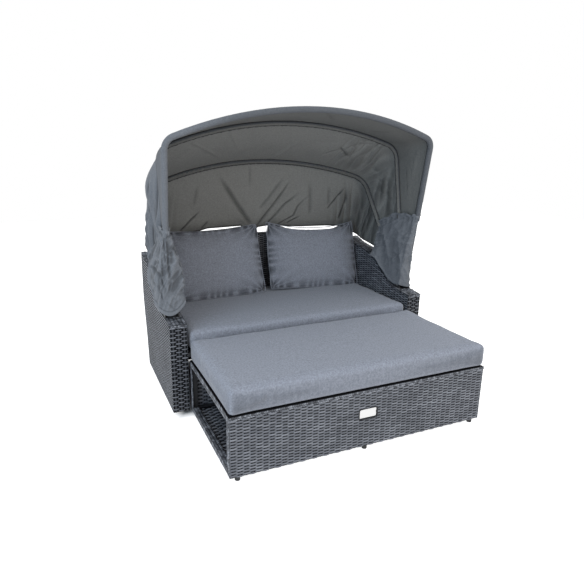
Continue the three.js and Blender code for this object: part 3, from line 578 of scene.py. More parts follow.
def plait(name, width, run):
    """Flat columns of slanting strands, like a plaited border, along V."""
    count, pitch = PLAITS[name]
    column = width / count
    cell = grid(name, 4, 2)
    ends, edges = (2 * coords(cell)[:, :2] - 1).T

    def place(u, v, w):
        along = (u - 0.5) * column * 1.08
        up = (v - 0.5) * pitch * 0.92 + along * 0.75
        return along, up, PLAIT_RISE * (1 - (2 * u - 1) ** 2) + 0.0006 * (1 - (2 * v - 1) ** 2)
    laid(cell, place)
    cells = []
    for i in range(count):
        obj = cell if i == count - 1 else cell.copy()
        if obj is not cell:
            obj.data = cell.data.copy()
            bpy.context.collection.objects.link(obj)
        side = 1 if i % 2 else -1
        co = coords(obj)
        co[:, 1] *= side
        co[:, 0] += (i + 0.5) * column
        co[:, 1] += pitch * 0.5 * (i % 2)
        set_coords(obj, co)
        cells.append(obj)
    piece = array(joined(name, cells), math.ceil(run / pitch) + 1, (0, pitch, 0))
    co = coords(piece)
    knot = np.floor(co[:, 1] / pitch)
    copies = len(co) // len(ends)
    # Painted shade: each strand darker towards its ends and edges, where it tucks under the next
    dive = np.tile(1.1 * ends ** 4 + 0.5 * edges ** 2, copies)
    point_values(piece, "tone", -0.25 + 1.6 * chance(knot, np.floor(co[:, 0] / column)) - dive)
    return trimmed(piece, lambda u, v: (v > 0) & (v < run))


def along_path(line):
    """Places on a line of (y, z) points by length along it, with the normal on its left."""
    line = np.asarray(line, float)
    steps = np.linalg.norm(np.diff(line, axis=0), axis=1)
    run = np.concatenate([[0], np.cumsum(steps)])
    ahead = np.diff(line, axis=0) / steps[:, None]
    corner = np.vstack([ahead[:1], ahead[:-1] + ahead[1:], ahead[-1:]])
    corner /= np.linalg.norm(corner, axis=1)[:, None]

    def at(s):
        y = np.interp(s, run, line[:, 0])
        z = np.interp(s, run, line[:, 1])
        ty = np.interp(s, run, corner[:, 0])
        tz = np.interp(s, run, corner[:, 1])
        size = np.hypot(ty, tz)
        return y, z, -tz / size, ty / size
    return at, run[-1]


def arm_top_at(y):
    depths, heights = zip(*ARM_TOP)
    return np.interp(y, depths, heights)


def rear_at(z):
    heights, depths = zip(*REAR_EDGE)
    return np.interp(z, heights, depths)


def back_top_at(x):
    return BACK_SIDE + BACK_ARCH * (1 - (np.clip(np.abs(x) / INNER_HALF, 0, 1)) ** 2)


def in_arm(y, z, margin):
    """True inside the arm's side outline, this far from its edges."""
    inside = (y > margin) & (z > FOOT + margin * 0.3)
    inside &= y < rear_at(z) - margin
    return inside & (z < arm_top_at(y) - margin) | (
        (y > ARM_TOP[-1][0]) & inside & (z < ARM_TOP[-1][1] - margin))


def mirrored(obj, name):
    """The left piece of a pair."""
    other = obj.copy()
    other.data = obj.data.copy()
    other.name = name
    other.data.name = name
    bpy.context.collection.objects.link(other)
    set_coords(other, coords(other) * (-1, 1, 1))
    alone(other)
    bpy.ops.object.mode_set(mode="EDIT")
    bpy.ops.mesh.select_all(action="SELECT")
    bpy.ops.mesh.flip_normals()
    bpy.ops.object.mode_set(mode="OBJECT")
    return other


def facing(obj, direction):
    """Turns the faces of an open weave so that they look this way."""
    alone(obj)
    normals = np.empty(len(obj.data.polygons) * 3)
    obj.data.polygons.foreach_get("normal", normals)
    if (normals.reshape(-1, 3) @ np.asarray(direction, float)).mean() < 0:
        bpy.ops.object.mode_set(mode="EDIT")
        bpy.ops.mesh.select_all(action="SELECT")
        bpy.ops.mesh.flip_normals()
        bpy.ops.object.mode_set(mode="OBJECT")
    return obj


def arm_strands(settings):
    row = settings.arm_row
    depth = max(p[1] for p in REAR_EDGE)
    tall = ARM_TOP[-1][1]
    pieces = []
    width = SOFA_HALF - INNER_HALF
    for name, x, side in (("arm_outside", SOFA_HALF, 1), ("arm_inside", INNER_HALF, -1)):
        face = weave(name, depth, tall, row, settings, **LOOKS[name])
        trimmed(face, lambda u, v: in_arm(u, v, 0.002))
        laid(face, lambda u, v, w, x=x, side=side: (x + side * w, u + ARM_FRONT,
                                                    np.maximum(v, FOOT)))
        pieces.append(facing(face, (side, 0, 0)))
    front = weave("arm_front", width, ARM_TOP[0][1] - FOOT, row, settings, **LOOKS["arm_front"])
    laid(front, lambda u, v, w: (INNER_HALF + u, ARM_FRONT - w, FOOT + v))
    pieces.append(facing(front, (0, -1, 0)))
    rim = plait("arm_rim", RIM, width)
    laid(rim, lambda u, v, w: (INNER_HALF + v, ARM_FRONT - w - 0.002, ARM_TOP[0][1] - 0.015 + u))
    pieces.append(facing(rim, (0, -1, 0)))
    rear_line = [(y, z) for z, y in REAR_EDGE if z < tall] + list(ARM_CORNER)
    at, run = along_path(rear_line)
    rear = weave("arm_rear", width, run, row, settings)

    def on_rear(u, v, w):
        y, z, ny, nz = at(v)
        return INNER_HALF + u, y - ny * w + ARM_FRONT, z - nz * w
    pieces.append(facing(laid(rear, on_rear), (0, 1, 0)))
    at_top, run_top = along_path(ARM_TOP)
    top = plait("arm_top", width + 0.004, run_top)

    def on_top(u, v, w):
        y, z, ny, nz = at_top(v)
        return INNER_HALF - 0.002 + u, y + ny * w + ARM_FRONT, z + nz * w
    pieces.append(facing(laid(top, on_top), (0, 0, 1)))
    return joined("right_arm_strands", pieces)


def back_strands(settings):
    pieces = []
    width = 2 * INNER_HALF
    bottom = {1: 0.30, -1: FOOT}
    for side in (1, -1):
        low = bottom[side]
        face = weave("back_face", width, BACK_SIDE + BACK_ARCH - low, settings.arm_row, settings)
        trimmed(face, lambda u, v, low=low: v + low < back_top_at(u - INNER_HALF) - 0.006)

        def place(u, v, w, side=side, low=low):
            z = v + low
            y = rear_at(z) - (BACK_THICKNESS if side > 0 else 0) - side * w
            return u - INNER_HALF, y + ARM_FRONT, z
        pieces.append(facing(laid(face, place), (0, -side, 0)))
    top = plait("back_top", BACK_THICKNESS + 0.006, width)

    def on_top(u, v, w):
        x = v - INNER_HALF
        z = back_top_at(x)
        return x, rear_at(z) + 0.003 - u + ARM_FRONT, z + w
    pieces.append(facing(laid(top, on_top), (0, 0, 1)))
    return joined("back_strands", pieces)


def outside_handle(u, v):
    """True where the stool's weave isn't cut away round its handle hole."""
    beside = np.abs(u - STOOL_HALF) > HANDLE_CUT[0]
    return beside | (np.abs(v + FOOT - HANDLE_HEIGHT) > HANDLE_CUT[1])


def stool_strands(settings):
    row = settings.stool_row
    tall = STOOL_TOP - FOOT
    width = 2 * STOOL_HALF
    pieces = []
    for y, side in ((STOOL_FRONT, -1), (STOOL_BACK, 1)):
        face = weave("stool_face", width, tall - 0.012, row, settings, **LOOKS["stool_face"])
        if side < 0:
            trimmed(face, outside_handle)
        laid(face, lambda u, v, w, y=y, side=side: (u - STOOL_HALF, y + side * w + ARM_FRONT,
                                                    FOOT + v))
        pieces.append(facing(face, (0, side, 0)))
        edge = plait("stool_edge", RIM, width + 0.004)
        laid(edge, lambda u, v, w, y=y, side=side: (v - STOOL_HALF - 0.002,
                                                    y + side * (0.0004 + w) + ARM_FRONT,
                                                    STOOL_TOP - 0.0155 + u))
        pieces.append(facing(edge, (0, side, 0)))
        inner = y - side * 0.003
        hidden = weave("stool_inside", width, tall - 0.012, row, settings, **LOOKS["stool_inside"])
        if side < 0:
            trimmed(hidden, outside_handle)
        laid(hidden, lambda u, v, w, inner=inner, side=side: (u - STOOL_HALF,
                                                              inner - side * w + ARM_FRONT, FOOT + v))
        pieces.append(facing(hidden, (0, -side, 0)))
        for end in (-1, 1):
            wrap = plait("stool_wrap", WRAP, tall)
            laid(wrap, lambda u, v, w, y=y, side=side, end=end: (end * (STOOL_HALF + w),
                                                                 y - side * u + ARM_FRONT, FOOT + v))
            pieces.append(facing(wrap, (end, 0, 0)))
    turn = np.linspace(0, 2 * math.pi, 64, endpoint=False)
    round_x, round_z = (np.sign(f(turn)) * np.abs(f(turn)) ** 0.25 for f in (np.cos, np.sin))
    line = np.column_stack([HANDLE_RIM[0] * round_x, np.full(64, STOOL_FRONT + ARM_FRONT - 0.0015),
                            HANDLE_HEIGHT + HANDLE_RIM[1] * round_z])
    rim = tube("handle_rim", line, HANDLE_TUBE, 8, closed=True)
    pieces.append(point_values(rim, "tone", np.full(len(rim.data.vertices), -0.8)))
    run = STOOL_BACK - STOOL_FRONT - 2 * WRAP
    start = STOOL_FRONT + WRAP
    for end in (-1, 1):
        for low, high in RAILS:
            rail = plait("stool_rail", high, run)
            laid(rail, lambda u, v, w, low=low, end=end: (end * (STOOL_HALF + w),
                                                          start + v + ARM_FRONT, low + u))
            pieces.append(facing(rail, (end, 0, 0)))
        low, high = RAILS[0]
        lid = plait("stool_rail_top", high, run)
        laid(lid, lambda u, v, w, end=end, low=low, high=high: (end * (STOOL_HALF - u),
                                                                start + v + ARM_FRONT,
                                                                low + high + w))
        pieces.append(facing(lid, (0, 0, 1)))
        floor = weave("stool_floor", STRIP_WIDTH, run - 0.02, row, settings, **LOOKS["stool_floor"])
        laid(floor, lambda u, v, w, end=end: (end * (STRIP_START + u),
                                              STOOL_FRONT + 0.042 + v + ARM_FRONT, STRIP_TOP + w))
        pieces.append(facing(floor, (0, 0, 1)))
    return joined("stool_strands", pieces)


class DAYBED_OT_weave(bpy.types.Operator):
    """Weave flat strands over the arms, the back and the footstool"""
    bl_idname = "daybed.weave"
    bl_label = "Weave Strands"

    def execute(self, context):
        settings = context.scene.daybed_weave
        strands = strand_material(settings)
        right = paint(smooth(arm_strands(settings)), strands)
        left = mirrored(right, "left_arm_strands")
        back = paint(smooth(back_strands(settings)), strands)
        stool = paint(smooth(stool_strands(settings)), strands)
        for obj, body in ((right, "sofa"), (left, "sofa"), (back, "sofa"), (stool, "stool")):
            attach(obj, body)
        return {"FINISHED"}


# Cushions and pillows

def box_cushion(name, half, height, settings):
    """A box with rounded edges and corners, its bottom on Z = 0 and its middle on the origin."""
    bpy.ops.object.select_all(action="DESELECT")
    bpy.ops.mesh.primitive_cube_add(size=1, location=(0, 0, 0))
    obj = bpy.context.object
    obj.name = name
    obj.data.name = name
    set_coords(obj, coords(obj) * (2 * half[0], 2 * half[1], height) + (0, 0, height / 2))
    edges = np.zeros(len(obj.data.edges), dtype=bool)
    co = coords(obj)
    for edge in obj.data.edges:
        a, b = (co[i] for i in edge.vertices)
        edges[edge.index] = abs(a[2] - b[2]) > height / 2
    alone(obj)
    bpy.ops.object.mode_set(mode="EDIT")
    bpy.ops.mesh.select_mode(type="EDGE")
    bpy.ops.mesh.select_all(action="DESELECT")
    bpy.ops.object.mode_set(mode="OBJECT")
    obj.data.edges.foreach_set("select", edges)
    bpy.ops.object.mode_set(mode="EDIT")
    bpy.ops.mesh.bevel(offset=settings.corner, segments=5, affect="EDGES")
    bpy.ops.object.mode_set(mode="OBJECT")
    modifier = obj.modifiers.new("edge", "BEVEL")
    modifier.width = settings.edge
    modifier.segments = 4
    modifier.limit_method = "ANGLE"
    modifier.angle_limit = math.radians(40)
    return apply_all(obj)


def remeshed(obj, voxel):
    modifier = obj.modifiers.new("remesh", "REMESH")
    modifier.mode = "VOXEL"
    modifier.voxel_size = voxel
    return apply_all(obj)


def filled(obj, pressure, cap, frames=20):
    """Fills a cushion by a cloth simulation with pressure, each point moving at most the cap."""
    before = coords(obj).copy()
    scene = bpy.context.scene
    modifier = obj.modifiers.new("fill", "CLOTH")
    cloth = modifier.settings
    cloth.quality = 5
    cloth.mass = 0.3
    cloth.tension_stiffness = 15
    cloth.compression_stiffness = 15
    cloth.shear_stiffness = 5
    cloth.bending_stiffness = 0.5
    cloth.use_pressure = True
    cloth.uniform_pressure_force = pressure
    cloth.effector_weights.gravity = 0
    cloth.air_damping = 2
    modifier.collision_settings.use_collision = False
    modifier.point_cache.frame_start = 1
    modifier.point_cache.frame_end = frames
    for step in range(1, frames + 1):
        scene.frame_set(step)
    apply_all(obj)
    scene.frame_set(1)
    moved = coords(obj) - before
    size = np.linalg.norm(moved, axis=1)
    share = np.where(size > cap, cap / np.maximum(size, 1e-9), 1)
    return set_coords(obj, before + moved * share[:, None])


def crowned(obj, half, height, crown, draw):
    """Gives a box cushion its crown, and draws its sides in between the corners."""
    def place(x, y, z):
        a, b = np.clip(x / half[0], -1, 1), np.clip(y / half[1], -1, 1)
        top = ease(z / height)
        rise = crown * (1 - np.abs(a) ** 3) * (1 - np.abs(b) ** 3) * top
        soft = 0.0016 * drift(x, y, 0.09) * top
        return (x - np.sign(x) * draw * np.abs(a) * (1 - b ** 2),
                y - np.sign(y) * draw * np.abs(b) * (1 - a ** 2), z + rise + soft)
    return laid(obj, place)


# Of each box cushion: its node, its body, its height, how far it is wider than its node before it
# is filled, and how dark its front lies, a painted shade that also falls on its left end
PAD_PLANS = (
    ("seat_pad", "seat_cushion", "sofa", 0.092, 0.001, 0.0),
    ("stool_pad", "stool_cushion", "stool_cushion", 0.105, 0.006, 0.36),
)
# The crown of a box cushion, and how far its sides draw in between its corners
PAD_CROWN = 0.006
PAD_DRAW = 0.002
# The pressure that fills a cushion, and the farthest that one of its points may move
PAD_FILL = (1.5, 0.004)
PILLOW_FILL = (4.0, 0.014)


class DAYBED_OT_cushions(bpy.types.Operator):
    """Make the seat cushion and the footstool cushion"""
    bl_idname = "daybed.cushions"
    bl_label = "Make Cushions"

    def execute(self, context):
        settings = context.scene.daybed_cushion
        material = fabric("cushion_fabric", settings.fabric, settings.fabric_light)
        for name, node, body, height, wider, front_painted_shade in PAD_PLANS:
            low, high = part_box(node)
            half = ((high[0] - low[0]) / 2 + wider, (high[1] - low[1]) / 2 + wider / 2)
            pad = box_cushion(name, half, height, settings)
            remeshed(pad, settings.voxel)
            crowned(pad, half, height, PAD_CROWN, PAD_DRAW)
            filled(pad, *PAD_FILL)
            modifier = pad.modifiers.new("soft", "SUBSURF")
            modifier.levels = modifier.render_levels = 1
            apply_all(pad)
            co = coords(pad)
            # Painted shade on the front and the left end, darker towards the bottom, and the painted shade
            # of small pleats along the front, which are not modelled
            front = ease((-co[:, 1] / half[1] - 0.965) / 0.03)
            end = ease((-co[:, 0] / half[0] - 0.975) / 0.02)
            pleats = np.clip(-ridged(co[:, 0] * 75 + 1.6 * np.sin(co[:, 0] * 17)), 0, 1)
            low_part = 1 - ease(co[:, 2] / height)
            dim = front_painted_shade * (0.75 + 0.7 * low_part)
            point_values(pad, "painted_shade", np.maximum(front * (dim + 0.14 * pleats), 0.85 * end * dim))
            middle = ((low[0] + high[0]) / 2, (low[1] + high[1]) / 2, low[2])
            set_coords(pad, coords(pad) + middle)
            paint(smooth(pad), material)
            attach(pad, body)
            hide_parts(node)
        return {"FINISHED"}


PILLOW_THICKNESS = 0.128
# How far both pillows lean back, in degrees
PILLOW_LEAN = 20
# Of each pillow: its middle, its turn in degrees, half its sides, and how far its ends, its top
# and its bottom draw in between its corners
PILLOW_PLANS = {
    "left_pillow": ((-0.321, 0.474, 0.6105), -1.1, (0.294, 0.207), (0.011, 0.023, 0.006)),
    "right_pillow": ((0.3085, 0.474, 0.6105), 2.9, (0.301, 0.207), (0.011, 0.044, 0.006)),
}


def drawn_in(a, b, half, draw):
    """From shares of -1 to 1 to places on a face whose sides draw in between its corners."""
    ends, top, bottom = draw
    soft = 1 - 0.040 * np.abs(a * b) ** 7
    x = a * soft * (half[0] - ends * (1 - np.abs(b) ** 2.4) * np.abs(a) ** 3)
    rise = np.where(b > 0, top, bottom) * (1 - np.abs(a) ** 2.4) * np.abs(b) ** 3
    return x, b * soft * (half[1] - rise)


def pillow_seam(half, draw, count):
    """The seam of a pillow as a closed line."""
    t = np.linspace(-1, 1, count // 4, endpoint=False)
    one = np.ones_like(t)
    a = np.concatenate([one, -t, -one, t])
    b = np.concatenate([t, one, -t, -one])
    x, z = drawn_in(a, b, half, draw)
    return np.column_stack([x, np.zeros(len(x)), z])


def pillow_mesh(name, half, draw):
    """Two soft faces that meet in a seam."""
    faces, shades = [], []
    for side in (1, -1):
        obj = grid(name, 120, 80)

        def place(u, v, w, side=side):
            a, b = 2 * u - 1, 2 * v - 1
            x, z = drawn_in(a, b, half, draw)
            far = np.maximum(np.abs(a), np.abs(b))
            full = (1 - np.abs(a) ** 3.4) ** 0.5 * (1 - np.abs(b) ** 3.0) ** 0.5
            along = np.where(np.abs(a) > np.abs(b), z, x)
            rim = np.exp(-(1 - far) / 0.10) * (far < 1)
            puckers = ridged(along * 62 + 1.5 * np.sin(along * 23) + side) * rim
            corner = np.hypot(1 - np.abs(a), 1 - np.abs(b))
            turned = np.arctan2(1 - np.abs(b), 1 - np.abs(a))
            star = ridged(6.5 * turned + 0.7) * np.exp(-corner / 0.24) * (far < 1)
            soft = (0.003 * drift(x + side * 3, z, 0.11) + 0.006 * crumple(x, z + side, 0.10)) * full
            # Painted shade in the puckers and the creases at the corners, darker along the rim, and a little
            # over the whole face
            shades.append(0.05 + np.clip(-1.4 * puckers - 1.8 * star, 0, 0.8) + 0.35 * rim ** 5)
            rise = 0.006 * puckers + 0.009 * star + soft
            return x, side * (full * PILLOW_THICKNESS / 2 + rise), z
        faces.append(point_values(laid(obj, place), "painted_shade", shades[-1]))
    obj = joined(name, faces)
    alone(obj)
    bpy.ops.object.mode_set(mode="EDIT")
    bpy.ops.mesh.select_all(action="SELECT")
    bpy.ops.mesh.remove_doubles(threshold=MERGE)
    bpy.ops.object.mode_set(mode="OBJECT")
    return outwards(obj)


class DAYBED_OT_pillows(bpy.types.Operator):
    """Make the two back pillows with their piped seams"""
    bl_idname = "daybed.pillows"
    bl_label = "Make Pillows"

    def execute(self, context):
        settings = context.scene.daybed_cushion
        material = fabric("cushion_fabric", settings.fabric, settings.fabric_light)
        for node, (middle, turn, half, draw) in PILLOW_PLANS.items():
            pillow = pillow_mesh(f"{node}_pad", half, draw)
            filled(pillow, *PILLOW_FILL)
            modifier = pillow.modifiers.new("soft", "SUBSURF")
            modifier.levels = modifier.render_levels = 1
            apply_all(pillow)
            seam = tube(f"{node}_piping", pillow_seam(half, draw, 240), settings.seam, 8, closed=True)
            lean = np.array(Euler((-math.radians(PILLOW_LEAN), 0, 0)).to_matrix())
            spin = np.array(Euler((0, math.radians(turn), 0)).to_matrix())
            for obj in (pillow, seam):
                set_coords(obj, coords(obj) @ (lean @ spin).T + middle)
                paint(smooth(obj), material)
                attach(obj, "sofa")
            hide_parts(node)
        return {"FINISHED"}


# Hood

# Steps along a bow's leg, its corner and half its crown
LEG_STEPS, CORNER_STEPS, CROWN_STEPS = 56, 18, 112
# How far up a bow's leg its cloth starts, seen from the pivot
PANEL_END = 0.370
# How far the middle cloth swells out between the legs, and how far any cloth sags over the crown
SWELL = 0.036
SAG = 0.009
# How far the slack cloth stands out from the rear bow's left corner
OUTSET = 0.012
# From a bow's middle to the cloth on it
CREST = BOW_RADIUS + 0.0012


def bow_line(bow, start):
    """Points, outward normals, and how far along each stretch, from the right leg to the left."""
    centre = bow["top"] - bow["crown"]
    corner_x = bow["half"] - bow["corner"]
    corner_up = centre + math.sqrt((bow["crown"] - bow["corner"]) ** 2 - corner_x ** 2)
    meet = math.atan2(corner_x, corner_up - centre)
    at, out, leg, crown = [], [], [], []
    for i in range(LEG_STEPS + 1):
        share = i / LEG_STEPS
        at.append((bow["half"], start + (corner_up - start) * share))
        out.append((1, 0))
        leg.append(1 - share)
        crown.append(0)
    for i in range(1, CORNER_STEPS + 1):
        turn = (math.pi / 2 - meet) * i / CORNER_STEPS
        out.append((math.cos(turn), math.sin(turn)))
        at.append((corner_x + bow["corner"] * out[-1][0], corner_up + bow["corner"] * out[-1][1]))
        leg.append(0)
        crown.append(i / CORNER_STEPS)
    for i in range(1, CROWN_STEPS + 1):
        turn = meet * (1 - i / CROWN_STEPS)
        out.append((math.sin(turn), math.cos(turn)))
        at.append((bow["crown"] * out[-1][0], centre + bow["crown"] * out[-1][1]))
        leg.append(0)
        crown.append(1)
    at, out, leg, crown = (np.array(a, float) for a in (at, out, leg, crown))
    turned = np.array((-1, 1))
    return (np.vstack([at, (at * turned)[-2::-1]]), np.vstack([out, (out * turned)[-2::-1]]),
            np.concatenate([leg, leg[-2::-1]]), np.concatenate([crown, crown[-2::-1]]))


def on_bow(bow, at, back=0.0):
    """From a bow's own plane into the frame, back metres behind the bow."""
    tilt = math.radians(bow["tilt"])
    return np.column_stack([
        at[:, 0],
        PIVOT[0] + ARM_FRONT - at[:, 1] * math.sin(tilt) + back * math.cos(tilt),
        PIVOT[1] + at[:, 1] * math.cos(tilt) + back * math.sin(tilt),
    ])


def bow_direction(bow, out, turn):
    """A direction of a bow's plane, turned back about the bow."""
    tilt = math.radians(bow["tilt"])
    turn = np.broadcast_to(turn, len(out))
    up = out[:, 1] * np.cos(turn)
    return np.column_stack([
        out[:, 0] * np.cos(turn),
        -up * math.sin(tilt) + np.sin(turn) * math.cos(tilt),
        up * math.cos(tilt) + np.sin(turn) * math.sin(tilt),
    ])


def unit(vectors):
    return vectors / np.maximum(np.linalg.norm(vectors, axis=-1, keepdims=True), 1e-9)


def ridged(turn):
    """Sharp ridges from -0.5 to 0.5, one for each half turn."""
    return (1 - np.abs(np.sin(turn))) ** 1.4 - 0.5


def crumple(x, y, scale):
    """Small sharp folds in changing directions, from about -0.5 to 0.5."""
    a = drift(x, y, scale * 2.2)
    b = drift(y + 3, x - 1, scale * 2.2)
    first = ridged((x + 0.7 * y) / scale + 2.4 * a)
    second = ridged((y - 0.5 * x) / scale * 0.8 + 2.8 * b)
    return first * (0.5 + 0.5 * b) + second * (0.5 - 0.5 * a)


def grooves(x, y, lines):
    """Depth and shade of folds along lines of points. Each fades at its far end."""
    depth = np.zeros_like(x)
    shade = np.zeros_like(x)
    for line, width, deep, dark in lines:
        line = np.array(line, float)
        steps = np.linalg.norm(np.diff(line, axis=0), axis=1)
        run = np.concatenate([[0], np.cumsum(steps)]) / steps.sum()
        near = np.full(x.shape, 9.0)
        along = np.zeros_like(x)
        for i, step in enumerate(steps):
            way = line[i + 1] - line[i]
            t = np.clip(((x - line[i, 0]) * way[0] + (y - line[i, 1]) * way[1]) / step ** 2, 0, 1)
            far = np.hypot(x - line[i, 0] - t * way[0], y - line[i, 1] - t * way[1])
            closer = far < near
            near = np.where(closer, far, near)
            along = np.where(closer, run[i] + t * (run[i + 1] - run[i]), along)
        fade = ease(along * 5 + 0.6) * ease((1 - along) * 2.4)
        share = (near / width) ** 2
        depth += deep * fade * (1 - 1.1 * share) * np.exp(-share)
        shade += dark * fade * np.exp(-share * 2.2)
    return depth, shade


def strip_between(name, rows, columns, place):
    """A sheet through place(i, v), where i is the index of a station and v the share across.
    Gives the sheet with the station and the share of each of its points."""
    obj = grid(name, columns, rows)
    at = coords(obj)
    station = np.rint(at[:, 0] * columns).astype(int)
    share = at[:, 1].copy()

    def spread(u, v, w):
        return place(np.rint(u * columns).astype(int), v).T
    return laid(obj, spread), station, share


def pushed(obj, outward, height, shade):
    """Moves each point along its normal, and darkens the hollows with painted shade."""
    facing(obj, outward)
    normals = np.empty(len(obj.data.vertices) * 3)
    obj.data.vertices.foreach_get("normal", normals)
    set_coords(obj, coords(obj) + normals.reshape(-1, 3) * height[:, None])
    return point_values(obj, "painted_shade", np.clip(shade, 0, 1))


def side_folds(co):
    """Long upright folds of the hood's sides: sharp ones on the right, round ones on the left."""
    y, z = co[:, 1] - ARM_FRONT, co[:, 2]
    lean = y + 0.10 * (z - 0.8)
    folds = (0.010 * ridged(lean * 34 + 1.3 * np.sin(z * 7))
             + 0.006 * ridged(lean * 61 + 2 * np.sin(z * 5)))
    waves = (0.009 * np.sin(lean * 62 + 1.5 * np.sin(z * 6))
             + 0.005 * np.sin(lean * 118 + 2 * np.sin(z * 5)))
    folds = np.where(co[:, 0] < 0, waves, folds)
    return folds * ease((np.abs(co[:, 0]) - 0.60) / 0.06)


def off_end(leg):
    """1 along a leg, falling to 0 where the cloth ends."""
    return 1 - ease((leg - 0.80) / 0.18)


def fold_shade(x, folds):
    """Shade in the hollows of the side folds, darker on the left."""
    return np.where(x < 0, 0.8, 0.6) * np.clip(-folds / 0.009, 0, 1)


def hood_panel(name, start_bow, end_bow, rows, swell):
    """A cloth from one bow to another, with each point's leg, crown and share across."""
    a_at, a_out, leg, crown = bow_line(start_bow, PANEL_END)
    b_at, b_out, _, _ = bow_line(end_bow, PANEL_END)
    first = on_bow(start_bow, a_at + a_out * CREST)
    last = on_bow(end_bow, b_at + b_out * CREST)
    normal_a = bow_direction(start_bow, a_out, 0)
    normal_b = bow_direction(end_bow, b_out, 0)

    def place(i, v):
        low = leg[i]
        way = v[:, None]
        point = first[i] * (1 - way) + last[i] * way
        normal = unit(normal_a[i] * (1 - way) + normal_b[i] * way)
        full = low * off_end(low)
        bend = np.sin(math.pi * v) ** 2 * (-SAG * (1 - low) + swell * full)
        corner = ease(1 - crown[i]) * (1 - ease(low * 1.6)) * (a_at[i, 0] < 0) * (swell > 0)
        bend = bend + corner * (swell * 1.05 * np.sin(math.pi * v ** 1.4) + OUTSET * ease(v * 1.5))
        return point + normal * bend[:, None]
    obj, station, share = strip_between(name, rows, len(leg) - 1, place)
    return obj, leg[station], crown[station], share


# Folds of the front panel: points of X and of the way from the front bow to the middle one, then
# the fold's width, depth and shade
FRONT_CREASES = (
    (((-0.50, 0.04), (-0.42, 0.12), (-0.36, 0.22)), 0.006, 0.004, 0.35),
    (((-0.30, 0.20), (-0.24, 0.12)), 0.007, 0.003, 0.25),
    (((0.10, 0.06), (0.20, 0.16)), 0.010, 0.003, 0.20),
    (((0.44, 0.20), (0.52, 0.10)), 0.007, 0.004, 0.30),
)
# The same for the front panel's right side: points of height and of the way back
CORNER_CREASES = (
    (((1.28, 0.02), (1.16, 0.05), (1.00, 0.07)), 0.006, -0.006, 0.0),
    (((1.24, 0.10), (1.05, 0.14)), 0.008, -0.005, 0.0),
    (((1.12, 0.20), (0.98, 0.18)), 0.007, 0.004, 0.25),
)

# The same for the middle panel: points of X and of the way from the middle bow to the rear one
MIDDLE_CREASES = (
    (((-0.48, 0.06), (-0.36, 0.16), (-0.24, 0.28)), 0.008, -0.005, 0.1),
    (((-0.30, 0.02), (-0.16, 0.22)), 0.010, -0.004, 0.0),
    (((0.06, 0.28), (0.16, 0.10)), 0.014, -0.006, 0.0),
    (((0.33, 0.20), (0.40, 0.13), (0.52, 0.19)), 0.008, 0.008, 0.5),
    (((0.56, 0.03), (0.44, 0.07)), 0.008, -0.006, 0.1),
)


def front_panel(name):
    obj, _, crown, v = hood_panel(name, BOWS["front"], BOWS["middle"], 24, 0.0)
    co = coords(obj)
    still = np.sin(math.pi * v) ** 0.6
    height = (0.0016 * drift(co[:, 0], v * 0.2, 0.10)
              + 0.002 * crumple(co[:, 0] + co[:, 2], v * 0.25, 0.07)) * still
    lines, shade = grooves(co[:, 0], v * 0.28, FRONT_CREASES)
    turned = ((co[:, 0] > 0) & (crown < 1)) * still
    ray = grooves(co[:, 2], v * 0.28, CORNER_CREASES)
    # Painted shade: the whole panel darker, more so towards the crown, and in its folds
    return pushed(obj, (0, 0, 1), height + lines * still + ray[0] * turned,
                  0.36 + 0.10 * crown + shade * still + ray[1] * turned)


def middle_panel(name):
    obj, leg, crown, v = hood_panel(name, BOWS["middle"], BOWS["rear"], 48, SWELL)
    co = coords(obj)
    x = co[:, 0]
    still = np.sin(math.pi * v) ** 0.6
    gather = ease((x - 0.30) / 0.2) * ease((0.2 + x - 0.3) / 0.2) * (1 - 0.75 * leg)
    along = x + 0.5 * (1 - crown) * np.sign(x) * (1.16 - co[:, 2])
    folds = 0.008 * ridged(along * 42 + v * 2.2 + np.sin(v * 5)) * gather * ease((1.1 - v) * 1.6)
    folds = folds + 0.012 * crumple(along * 1.6, v * 0.16, 0.030) * gather
    lines, shade = grooves(x, v * 0.3, MIDDLE_CREASES)
    long = side_folds(co) * ease(leg * 4) * off_end(leg)
    height = still * (0.005 * crumple(x, v * 0.3, 0.06) + folds + long) + lines
    # Painted shade in the gathers and folds, and a little over the whole panel
    shade = shade + 0.28 * np.clip(-folds / 0.006, 0, 1) * gather + fold_shade(x, long)
    return pushed(obj, (0, 0, 1), height, 0.07 + shade * still)


# The rear cloth's hem over the back: its X and its height
HEM_X = (-0.66, -0.36, -0.31, -0.10, -0.085, -0.004, 0.01, 0.10, 0.19, 0.30, 0.48, 0.57, 0.64)
HEM_Z = (0.746, 0.768, 0.780, 0.784, 0.764, 0.760, 0.770, 0.778, 0.765, 0.757, 0.752, 0.745, 0.712)
# How far the hem of each side stands over the arm's top, on the left only at the back
HEM_LIFT = {1: 0.021, -1: 0.036}
# Depth of the hem's front ends, the depth and X at which its rear corners start, and their radius
HEM_START = 0.345
HEM_CORNER = 0.640
HEM_ROUND = 0.044


